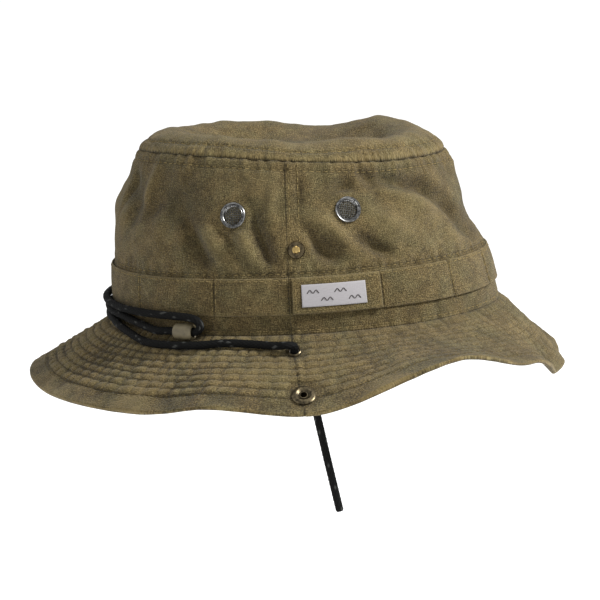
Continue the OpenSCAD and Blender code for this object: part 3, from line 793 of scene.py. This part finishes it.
def side_seam_field(s):
    """The side seams: a groove with a raised allowance behind it, topstitched twice."""
    total = np.zeros_like(s)
    for seam in (SEAM_LEFT, SEAM_RIGHT):
        d = wrapped(s - arc(seam), GIRTH)
        total += 0.35 * ease((d + 0.2) / 0.7) * ease((SEAM_ALLOWANCE - d) / 1.6)
        total -= 0.3 * bell(d, 0.6) + 0.3 * bell(d + 3, 2)
        for row in SEAM_ROWS:
            total -= 0.25 * bell(d - row, 0.5)
    return total


# Rows of stitches: above the band and above the brim seam, and below the tip seam and in from it
BAND_ROW = 29.8
LOWER_ROW = 1.9
TIP_ROW = 4.6
TIP_INNER_ROW = 3.8


def pucker(angle, height, size, seed):
    """Ripples of cloth gathered by a row of stitches: short along the row and long across it."""
    points = np.stack([HALF_LEN * cos_d(angle), HALF_WID * sin_d(angle), height * 0.22 + 0 * angle], -1)
    return noise_of(points, size, seed)


def crown_field(angle, z, base):
    """How far the crown wall's cloth stands out of its plain shape."""
    s = arc(angle)
    h = wall_h(angle)
    free = ease((z - 29) / 9) * ease((h - z) / 8)
    total = (fold_field(s, z) * 2 + noise_of(base, 30, 3.1) * 1.5 + noise_of(base, 12, 7.7) * 0.9) * free
    total += noise_of(base, 5.5, 1.7) * 0.28
    total += side_seam_field(s) * ease((h - z) / 2)
    ripples = pucker(angle, z, 3.4, 5.0)
    total += ripples * (1.1 * bell(h - z, 6.5) + 0.9 * bell(z - BAND_ROW, 4.5) + 0.5 * bell(z, 5))
    total -= 0.5 * bell(h - z - TIP_ROW, 0.8) + 0.9 * bell(h - z, 0.8)
    total -= 0.5 * bell(z - BAND_ROW, 0.7) + 0.3 * bell(z - LOWER_ROW, 0.6)
    covered = ease((z - BAND_LOW) / 1.5) * ease((BAND_HIGH - z) / 1.5)
    return (total * (1 - covered) - 0.3 * covered) * calm(base, WALL_FLATS)


CROWN_COLS = 128
CROWN_STEP = 0.3
SEAM_TUCK = 0.9  # in degrees


def crown_panel(name, first, last, tucked):
    angles = np.linspace(first, last, round((last - first) / CROWN_STEP) + 1)
    a = np.repeat(angles[:, None], CROWN_COLS, 1)
    h = wall_h(a)
    z = np.linspace(0, 1, CROWN_COLS)[None] * h
    base = wall(a, z)
    n = normals_of(base)
    field = crown_field(a, z, base)
    if tucked:
        # this panel's edges go behind the other panel's
        field = field - 0.75 * ease(1.2 - np.minimum(a - first, last - a) / SEAM_TUCK)
    front = base + n * field[..., None]
    back = base + n * (np.minimum(field, 0.2) - CLOTH_T)[..., None]
    s = np.unwrap(arc(a), axis=0, period=GIRTH)
    # pale worn edge along the tip seam; painted shade in the seam and in the stitch rows' grooves; painted
    # light on the folds' crests and painted shade in their hollows
    wear_and_painted_light = 0.5 * bell(h - z, 1.2) - bell(h - z, 0.4) + np.clip(field * 0.2, -0.4, 0.4)
    wear_and_painted_light -= 0.4 * bell(h - z - TIP_ROW, 0.6) + 0.5 * bell(z - BAND_ROW, 0.7)
    keep = cut(front, back, WALL_HOLES)
    obj = shell(name + "_cloth", front, back, np.stack([s, z], -1), CANVAS, wear_and_painted_light=wear_and_painted_light, keep=keep)
    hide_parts(name)
    return angles, front


PANELS = [
    crown_panel("crown_panel_front", SEAM_RIGHT - SEAM_TUCK, SEAM_LEFT + SEAM_TUCK, True),
    crown_panel("crown_panel_back", SEAM_LEFT, SEAM_RIGHT + 360, False),
]


def wall_line(panel, angles, z):
    panel_angles, front = panel
    rows = (angles - panel_angles[0]) / (panel_angles[-1] - panel_angles[0]) * (len(panel_angles) - 1)
    return grid_line(front, rows, z / wall_h(angles) * (CROWN_COLS - 1))


def crown_rows():
    lines = []
    for panel in PANELS:
        angles = np.linspace(panel[0][0] + 1.2, panel[0][-1] - 1.2, 420)
        for z in (LOWER_ROW, BAND_ROW):
            lines.append(wall_line(panel, angles, z + 0 * angles))
        lines.append(wall_line(panel, angles, wall_h(angles) - TIP_ROW))
    back = PANELS[1]
    for seam, first, sign in ((SEAM_LEFT, SEAM_LEFT, 1), (SEAM_RIGHT, SEAM_RIGHT + 360, -1)):
        for row in SEAM_ROWS:
            z = np.linspace(BAND_ROW + 0.8, wall_h(first) - 1.2, 60)
            lines.append(wall_line(back, first + sign * np.degrees(row / (HALF_LEN * wall_share(z))), z))
    return lines


sew("crown_stitching", crown_rows(), THREAD)


# ---------------------------------------------------------------- tip
def tip_field(a, q, base):
    total = (noise_of(base, 26, 2.2) * 1.8 + noise_of(base, 10, 4.4) * 0.8) * ease(q / 10)
    total += noise_of(base, 5.5, 8.7) * 0.25 + 0.9 * bell(q, 6) * pucker(a, q, 3.4, 9.0)
    return total - 0.5 * bell(q - TIP_INNER_ROW, 0.8) - 0.6 * bell(q, 0.7)


TIP_STEPS = 840
TIP_RINGS = np.concatenate([np.linspace(0, 14, 36), np.linspace(14.6, 65.2, 54)])


def make_tip():
    a, q = np.meshgrid(np.arange(TIP_STEPS) * 360 / TIP_STEPS, TIP_RINGS, indexing="ij")
    base = tip(a, q)
    field = tip_field(a, q, base) * ease((65 - q) / 6)
    n = normals_of(base, ring=True)
    front = base + n * field[..., None]
    thick = CLOTH_T * ease((q + 0.3) / 2)
    back = front - n * thick[..., None]
    front[..., 2] += 0.05
    # pale worn edge by the seam and paler near the crest; painted shade in the seam and in the inner row's
    # groove
    wear_and_painted_light = 0.5 * bell(q - 0.8, 0.9) - bell(q, 0.35) - 0.4 * bell(q - TIP_INNER_ROW, 0.6) + 0.3 * bell(q - 9, 6)
    obj = shell("crown_tip_cloth", front, back, front[..., :2], CANVAS, ring=True, wear_and_painted_light=wear_and_painted_light, close_end=True)
    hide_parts("crown_tip")
    grid = np.concatenate([front, front[:1]])
    normals = normals_of(front, ring=True)
    normals = np.concatenate([normals, normals[:1]])
    rows = np.linspace(0, TIP_STEPS, 520)
    cols = np.interp(TIP_INNER_ROW, TIP_RINGS, np.arange(len(TIP_RINGS))) + 0 * rows
    sew("tip_stitching", [(sample(grid, rows, cols), sample(normals, rows, cols))], THREAD)


make_tip()


# ---------------------------------------------------------------- bands and linings on the crown wall
EDGE_CUTS = np.array([0, 0.06, 0.2, 0.4])
EDGE_R = 0.7
EDGE_DEGREES = 0.45  # the same round the crown


def edged(low, high, step):
    """Cuts across a band, closer at both edges so that they turn over softly."""
    inner = np.linspace(low + EDGE_R, high - EDGE_R, max(2, round((high - low) / step)))
    return np.concatenate([low + EDGE_CUTS, inner, high - EDGE_CUTS[::-1]])


def rounded(value, low, high, radius):
    d = np.clip(np.minimum(value - low, high - value) / radius, 0, 1)
    return np.sqrt(np.maximum(1 - (1 - d) ** 2, 0.02))


MEAN_R = 90.0


def patch(name, first, last, low, high, inner, outer, material, field, step=0.8, ring=False, wear_and_painted_light=None):
    """A piece of cloth on the crown wall. field(angle, z) is how far it stands out of its plain shape."""
    span = last - first
    if ring:
        count = round(math.radians(span) * MEAN_R / step)
        angles = first + np.arange(count) * span / count
    else:
        angles = edged(first, last, math.degrees(step / MEAN_R))
        edges = [first, first + EDGE_R, last - EDGE_R, last]
        angles = np.interp(angles, edges, [first, first + EDGE_DEGREES, last - EDGE_DEGREES, last])
    heights = edged(low, high, step)
    a, z = np.meshgrid(angles, heights, indexing="ij")
    base = wall(a, z)
    n = normals_of(base, ring)
    lift = field(a, z)
    middle = (inner + outer) / 2
    half = (outer - inner) / 2 * rounded(z, low, high, EDGE_R)
    if not ring:
        half = half * rounded(a, first, last, EDGE_DEGREES)
    front = base + n * (middle + half + lift)[..., None]
    back = base + n * (middle - half + lift * (0.6 if inner > 0 else 1))[..., None]
    s = np.unwrap(arc(a), axis=0, period=GIRTH)
    worn_and_painted_light = None if wear_and_painted_light is None else wear_and_painted_light(a, z)
    obj = shell(name + "_cloth", front, back, np.stack([s, z], -1), material, ring=ring, wear_and_painted_light=worn_and_painted_light)
    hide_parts(name)
    return angles, heights, front


def patch_line(grid, angles, z):
    grid_angles, heights, front = grid
    rows = np.interp(angles, grid_angles, np.arange(len(grid_angles)))
    return grid_line(front, rows, np.interp(z, heights, np.arange(len(heights))))


BAND_TACKS = (215.0, 244.6, 267.7, 294.0, 319.0, 341.0, 0.0, 25.0, 48.0, 66.0, 92.3, 115.4, 145.0, 180.0)
BAND_IN, BAND_OUT = 0.2, 1.3
BAND_GAP = 0.05  # in degrees, between a band's end and the side seam
MM_PER_DEGREE = 1.6


def tack_distance(angle):
    return np.min([np.abs(wrapped(angle - tack, 360)) for tack in BAND_TACKS], axis=0) * MM_PER_DEGREE


def band_field(angle, z):
    base = wall(angle, z)
    tack = tack_distance(angle)
    down = BAND_HIGH - z
    total = 0.55 * ease(tack / 9) * np.sin(np.pi * (z - BAND_LOW) / (BAND_HIGH - BAND_LOW)) ** 0.6
    total += noise_of(base, 22, 12.0) * 0.35 + noise_of(base, 8, 2.0) * 0.12
    total += 0.3 * pucker(angle, z, 4.0, 3.0) * bell(down, 4)
    total += 0.35 * ease((down - 12) / 6) * (0.6 + noise_of(base, 17, 6.0))
    # the cord holds the band down in front
    front_share = ease((-base[..., 0] - 60) / 40)
    return (total - 0.5 * bell(tack, 0.7)) * (1 - 0.7 * front_share) + 0.1


def band_wear_and_painted_shade(angle, z):
    # pale worn edges, and painted shade in the dimples where the tacks pull the band in
    edges = 0.7 * bell(z - BAND_LOW, 0.7) + 0.5 * bell(BAND_HIGH - z, 0.7)
    return edges - 0.8 * bell(tack_distance(angle), 0.5)


def make_bands():
    lines = []
    for name, first, last in (
        ("hat_band_front", SEAM_RIGHT + BAND_GAP, SEAM_LEFT - BAND_GAP),
        ("hat_band_back", SEAM_LEFT + BAND_GAP, SEAM_RIGHT + 360 - BAND_GAP),
    ):
        grid = patch(name, first, last, BAND_LOW, BAND_HIGH, BAND_IN, BAND_OUT, CANVAS, band_field,
                     wear_and_painted_light=band_wear_and_painted_shade)
        angles = np.linspace(first + 0.5, last - 0.5, 400)
        lines.append(patch_line(grid, angles, BAND_HIGH - 1.4 + 0 * angles))
        z = np.linspace(BAND_LOW + 1.2, BAND_HIGH - 1.6, 16)
        for tack in BAND_TACKS:
            at = first + (tack - first) % 360
            if first + 1 < at < last - 1:
                lines += [patch_line(grid, at + shift + 0 * z, z) for shift in (-0.55, 0.55)]
    sew("band_stitching", lines, THREAD)


make_bands()


def angle_of(x):
    """Angle, on the left side, of a point at x at the wall's foot."""
    return 270 + np.degrees(np.arcsin(x / HALF_LEN))


TAB_FIRST, TAB_LAST = angle_of(-3.5), angle_of(39.5)
TAB_LOW, TAB_HIGH = BAND_LOW + 0.5, BAND_HIGH - 0.5


def tab_field(angle, z):
    s = (angle - TAB_FIRST) / (TAB_LAST - TAB_FIRST)
    curl = 0.5 * ease((s - 0.75) / 0.25) + 0.3 * ease((0.12 - s) / 0.12)
    return 0.55 + curl + noise_of(wall(angle, z), 18, 21.0) * 0.25


def tab_wear(angle, z):
    sideways = np.minimum(angle - TAB_FIRST, TAB_LAST - angle) * 1.7
    return 0.7 * bell(np.minimum(np.minimum(z - TAB_LOW, TAB_HIGH - z), sideways), 0.7)


def make_tab():
    grid = patch("label_tab", TAB_FIRST, TAB_LAST, TAB_LOW, TAB_HIGH, 1.4, 2.3, CANVAS, tab_field,
                 step=0.6, wear_and_painted_light=tab_wear)
    ends, rows = (TAB_FIRST + 0.9, TAB_LAST - 0.9), (TAB_LOW + 1.5, TAB_HIGH - 1.5)
    angles, z = np.linspace(*ends, 60), np.linspace(*rows, 20)
    lines = [patch_line(grid, angles, row + 0 * angles) for row in rows]
    lines += [patch_line(grid, end + 0 * z, z) for end in ends]
    sew("tab_stitching", lines, THREAD, length=2.0, gap=0.6, radius=0.2)


make_tab()

LABEL_FIRST, LABEL_LAST = angle_of(1), angle_of(32)
LABEL_LOW = 13.5
LABEL_HIGH = 24.3


def label_field(angle, z):
    return tab_field(angle, z) + 0.1


def make_label():
    """The woven label, with a generic pattern: four short zigzags in two staggered rows."""
    grid = patch("woven_label", LABEL_FIRST, LABEL_LAST, LABEL_LOW, LABEL_HIGH, 2.35, 2.8, LABEL,
                 label_field, step=0.4)
    corners = [(-3.0, -1.0), (-1.5, 1.0), (0, -1.0), (1.5, 1.0), (3.0, -1.0)]
    t = np.linspace(0, 1, 6)
    lines = []
    for k in range(4):
        mid_x = 6.5 + k * 6.6
        mid_z = (LABEL_LOW + LABEL_HIGH) / 2 + (-1.9 if k % 2 else 1.9)
        for (ax, az), (bx, bz) in zip(corners, corners[1:]):
            lines.append(patch_line(grid, angle_of(mid_x + ax + (bx - ax) * t), mid_z + az + (bz - az) * t))
    sew("label_pattern", lines, MARK, slot="woven_label", length=2.4, gap=0.05, radius=0.27)


make_label()


def lining_field(angle, z):
    """The pieces inside the crown follow its folds."""
    base = wall(angle, z)
    return np.minimum(crown_field(angle, z, base), 0.2) + noise_of(base, 18, 15.0) * 0.15 - 0.25


for name, first, last, low, high, inner, outer, material, slot_name, ring in (
    ("sweatband", 0, 360, 1, 32, -2.5, -1.3, CANVAS_INNER, "inner_cotton", True),
    ("tip_seam_binding", 0, 360, 72, 78, -1.8, -1.2, CANVAS_INNER, "inner_cotton", True),
    ("seam_tape_left", 261.0, 268.0, 44, 71, -1.7, -1.2, CANVAS_INNER, "inner_cotton", False),
    ("seam_tape_right", 92.0, 99.0, 44, 71, -1.7, -1.2, CANVAS_INNER, "inner_cotton", False),
    ("care_label", -9, 9, 5, 27, -3.1, -2.75, CARE, "care_label", False),
):
    patch(name, first, last, low, high, inner, outer, material, lining_field, ring=ring)

# ---------------------------------------------------------------- brim
ROW_FIRST = 5.6
ROW_STEP = 4.35
ROW_COUNT = 8
HEM_ROW = 41.2
QUILT_ROWS = [ROW_FIRST + ROW_STEP * k for k in range(ROW_COUNT)] + [HEM_ROW]
BRIM_SEAM = {"left": 267.2, "right": 92.8}
SEAM_SLANT = 2.6
BRIM_STEP = 0.42
BRIM_CUTS = np.concatenate([[-1.4, -0.7], np.linspace(0, 50.4, 86), [50.75, 51.05, 51.25, 51.4, 51.48]])
BRIM_HALF_T = 1.0
BRIM_UNDER = 1.95  # from the top face to the underside
BRICK = 6.0  # from one pucker to the next
BRICK_MM_PER_DEGREE = 1.62


def brim_soft(angle):
    """How crisp the quilting is: crisp round the front, softer towards the back and the far side."""
    return 0.5 + 0.7 * ease((1 + cos_d(angle - 212)) / 2) ** 3


def quilt(angle, u, seed):
    """Quilted cloth: a channel at each row of stitches, with short puckers between the rows."""
    total = np.zeros_like(u)
    rows = [0.0, *QUILT_ROWS]
    points = np.stack([HALF_LEN * cos_d(angle), HALF_WID * sin_d(angle), 0 * u], -1)
    wander = noise_of(points, 40, seed + 7) * 0.8
    crisp = np.minimum(brim_soft(angle), 1)
    for k, (low, high) in enumerate(zip(rows, rows[1:])):
        inside = (u >= low) & (u < high)
        t = np.clip((u - low) / (high - low), 0, 1)
        shift = pucker(angle, 9.0 * k + 0 * u, 9.0, seed + 2.3 * k) * 0.45
        across = (angle * BRICK_MM_PER_DEGREE / BRICK + wander + shift + 0.12 * t) % 1.0
        brick = np.sin(np.pi * across) ** 0.6
        height = 0.85 + 0.45 * pucker(angle, 5.0 * k + 0 * u, 5.0, seed + 11 + 1.7 * k)
        channel = np.sin(np.pi * t) ** 0.55
        total += inside * (channel + (1 - channel) * (1 - crisp) * 0.7) * (0.05 + 1.3 * brick) * height
    hem = ease((u - HEM_ROW) / 1.4)
    ripple = pucker(angle, u, 6.0, seed + 40.0)
    return total + hem * (0.5 + 0.7 * ripple * bell(u - HEM_ROW, 7))


def brim_seam_distance(side, angle, u):
    """Distance round the brim from one of its two seams, in millimetres."""
    seam = BRIM_SEAM[side] + (SEAM_SLANT if side == "left" else -SEAM_SLANT) * u / BRIM_W
    return wrapped(angle - seam, 360) * (1.5 + u * 0.013)


def brim_field(angle, u, base, seed):
    total = quilt(angle, u, seed) * brim_soft(angle) + noise_of(base, 26, seed) * 1.3 * ease(u / 20)
    total += noise_of(base, 8, seed + 3) * 0.4 * ease(u / 4)
    for side in BRIM_SEAM:
        d = brim_seam_distance(side, angle, u)
        total += 0.3 * bell(d - 1.8, 1.3) - 0.3 * bell(d + 1.2, 1) - 0.7 * bell(d, 0.5)
    return total * ease((u + 0.7) / 2.2)


def brim_wear_and_painted_light(angle, u, field):
    # pale worn edge; painted shade in the quilting channels and the seams; painted light on the puckers'
    # crests and painted shade in their hollows
    edge = 0.3 * bell(BRIM_W - u, 0.9) + 0.25 * bell(BRIM_W - u, 4)
    grooves = sum(bell(u - row, 0.5) for row in QUILT_ROWS)
    crisp = np.minimum(brim_soft(angle), 1)
    seam = sum(bell(brim_seam_distance(side, angle, u), 0.45) for side in BRIM_SEAM)
    return edge - 0.65 * grooves * crisp ** 2 - 0.9 * seam + np.clip((field - 0.45) * 0.8, -0.5, 0.5) * crisp


def brim_half(side, first, last):
    sign = -1 if side == "left" else 1
    angles = np.linspace(last, first, round((last - first) / BRIM_STEP) + 1)
    a, u = np.meshgrid(angles, BRIM_CUTS, indexing="ij")
    base = brim(a, np.maximum(u, 0))
    # the inner edge is tucked under the crown
    tuck = np.minimum(u, 0)
    base += np.stack([tuck * cos_d(a), tuck * sin_d(a), 0.3 * np.maximum(tuck, -0.7)], -1)
    n = normals_of(base)
    flat = calm(base, BRIM_FLATS)
    field = brim_field(a, u, base, 1.0) * flat
    under = brim_field(a, u, base, 61.0) * flat
    u = np.maximum(u, 0)
    turn = np.sqrt(np.clip(1 - (np.clip(u - (BRIM_W - 1), 0, 1)) ** 2, 0.02, 1))
    front = base + n * (field * turn - BRIM_HALF_T * (1 - turn))[..., None]
    back = base - n * ((BRIM_UNDER + under * 0.55) * turn + BRIM_HALF_T * (1 - turn))[..., None]
    keep = cut(front, back, BRIM_HOLES[sign])
    obj = shell("brim_cloth_" + side, front, back, np.stack([arc(a), u], -1), CANVAS, body=None,
                wear_and_painted_light=brim_wear_and_painted_light(a, u, field), keep=keep)
    follow_fold(obj)
    half = "front" if side == "left" else "back"
    for layer in ("brim_top", "brim_lining", "brim_under"):
        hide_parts(f"{layer}_{half}", f"{layer}_side_{side}")
    rows = np.linspace(1, len(angles) - 2, 560)
    trim = [(EYELETS[sign], 4.05), (SNAPS[sign], 6.4)]
    for name, grid, normals in (
        ("brim_stitching_", front, normals_of(front)),
        ("brim_stitching_under_", back, -normals_of(back)),
    ):
        kept = []
        for row in [*QUILT_ROWS, HEM_ROW + 1.3]:
            cols = np.interp(row, BRIM_CUTS, np.arange(len(BRIM_CUTS))) + 0 * rows
            kept += split_at((sample(grid, rows, cols), sample(normals, rows, cols)), trim)
        thread = sew(name + side, kept, THREAD_DULL, None, length=2.6, gap=0.8, radius=0.22, lift=-0.04)
        follow_fold(thread)


def split_at(line, trim):
    """The runs of a line that stay clear of the trim."""
    points, normals = line
    clear = np.ones(len(points), bool)
    for centre, radius in trim:
        clear &= np.linalg.norm(points - centre, axis=-1) > radius
    runs = np.split(np.arange(len(points)), np.flatnonzero(np.diff(clear.astype(int))) + 1)
    return [(points[run], normals[run]) for run in runs if clear[run[0]] and len(run) > 3]


brim_half("left", 180, 360)
brim_half("right", 0, 180)

# ---------------------------------------------------------------- vents' woven mesh
WIRE_R = 0.17
WIRE_STEP = 0.92
WIRE_DISC = 4.66
WIRE_SINK = 0.4
WIRE_COUNT = 10
WIRE_SIDES = 6


def wall_frame(angle, z):
    """Middle, outward normal and two directions along the wall, in millimetres."""
    centre = point_on_wall(angle, z)
    across = unit(point_on_wall(angle + 0.5, z) - point_on_wall(angle - 0.5, z))
    up = unit(point_on_wall(angle, z + 0.5) - point_on_wall(angle, z - 0.5))
    out = unit(np.cross(across, up))
    return centre, out, across, unit(np.cross(out, across))


def vent_mesh(place, angle):
    centre, out, across, up = wall_frame(angle, VENT_Z)
    verts, faces = [], []
    offsets = (np.arange(WIRE_COUNT) - (WIRE_COUNT - 1) / 2) * WIRE_STEP
    turn = np.arange(WIRE_SIDES) * 2 * np.pi / WIRE_SIDES
    for first, second, phase in ((across, up, 0), (up, across, 1)):
        for k, offset in enumerate(offsets):
            reach = math.sqrt(max(WIRE_DISC**2 - offset**2, 0.2))
            t = np.linspace(-reach, reach, max(6, round(reach * 2 / 0.23)))
            out_by = WIRE_R * np.cos(np.pi * (t / WIRE_STEP - 0.5) + np.pi * (k + phase)) - WIRE_SINK
            path = centre + np.outer(t, first) + np.outer(offset + 0 * t, second) + np.outer(out_by, out)
            around = WIRE_R * (np.outer(np.cos(turn), second) + np.outer(np.sin(turn), out))
            start = sum(len(v) for v in verts)
            verts.append((path[:, None] + around).reshape(-1, 3))
            for low in range(start, start + (len(path) - 1) * WIRE_SIDES, WIRE_SIDES):
                for j in range(WIRE_SIDES):
                    a, b = low + j, low + (j + 1) % WIRE_SIDES
                    high_a, high_b = a + WIRE_SIDES, b + WIRE_SIDES
                    faces.append([a, b, high_b, high_a] if phase else [b, a, high_a, high_b])
            cap = list(range(start, start + WIRE_SIDES))
            end = [v + (len(path) - 1) * WIRE_SIDES for v in cap]
            faces += [cap[::-1], end] if phase else [cap, end[::-1]]
    obj = add_piece("vent_wire_" + place, np.concatenate(verts), faces, MESH_WIRE)
    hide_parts("vent_mesh_" + place)


for place, angle in VENTS.items():
    vent_mesh(place, angle)

# ---------------------------------------------------------------- finishes of the CAD pieces that stay
STUD_HEAD_OUT = 2.1
FINISHES = {
    "vent_rim": SILVER, "vent_washer": SILVER, "snap_post": BRASS, "snap_socket": BRASS,
    "snap_cap": BRASS, "cord_eyelet": BRASS, "cord_washer": BRASS, "toggle": TOGGLE,
}
for side, angle in STUD_ANGLES.items():
    centre, out, _, _ = wall_frame(angle, STUD_Z)
    head = tuple((centre + out * STUD_HEAD_OUT) * MM)
    FINISHES["snap_stud_" + side] = stud_material("stud_brass_" + side, head)
for node_name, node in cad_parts.items():
    for start, material in FINISHES.items():
        if node_name.startswith(start):
            for slot_of in node.material_slots:
                slot_of.material = material

# ---------------------------------------------------------------- studio
FLOOR_HALF = 20
FLOOR_Z = -0.35


def add_light(name, place, aim, size, power):
    data = bpy.data.lights.new(name, "AREA")
    data.shape = "DISK"
    data.size = size
    data.energy = power
    obj = bpy.data.objects.new(name, data)
    obj.location = place
    obj.rotation_euler = (Vector(aim) - Vector(place)).to_track_quat("-Z", "Y").to_euler()
    bpy.context.scene.collection.objects.link(obj)


def studio():
    mesh = bpy.data.meshes.new("floor")
    corners = [(x * FLOOR_HALF, y * FLOOR_HALF, FLOOR_Z) for x, y in ((-1, -1), (1, -1), (1, 1), (-1, 1))]
    mesh.from_pydata(corners, [], [(0, 1, 2, 3)])
    floor = bpy.data.objects.new("floor", mesh)
    m = Nodes("pale_floor")
    m.set(Base_Color=(0.95, 0.95, 0.95, 1), Roughness=0.9, Emission_Color=(1, 1, 1, 1), Emission_Strength=0.3)
    mesh.materials.append(m.material)
    bpy.context.scene.collection.objects.link(floor)
    world = bpy.data.worlds.new("studio")
    world.use_nodes = True
    background = world.node_tree.nodes["Background"]
    background.inputs["Color"].default_value = (1, 1, 1, 1)
    background.inputs["Strength"].default_value = 0.8
    bpy.context.scene.world = world
    bpy.context.scene.view_settings.view_transform = "Standard"
    add_light("key", (1.05, -0.4, 0.9), (0, 0, 0.02), 0.3, 34)
    add_light("fill", (-1.2, -0.7, 0.35), (0, 0, 0.02), 0.8, 3)
    add_light("top", (0.1, 0.3, 1.3), (0, 0, 0.04), 0.6, 2)


studio()
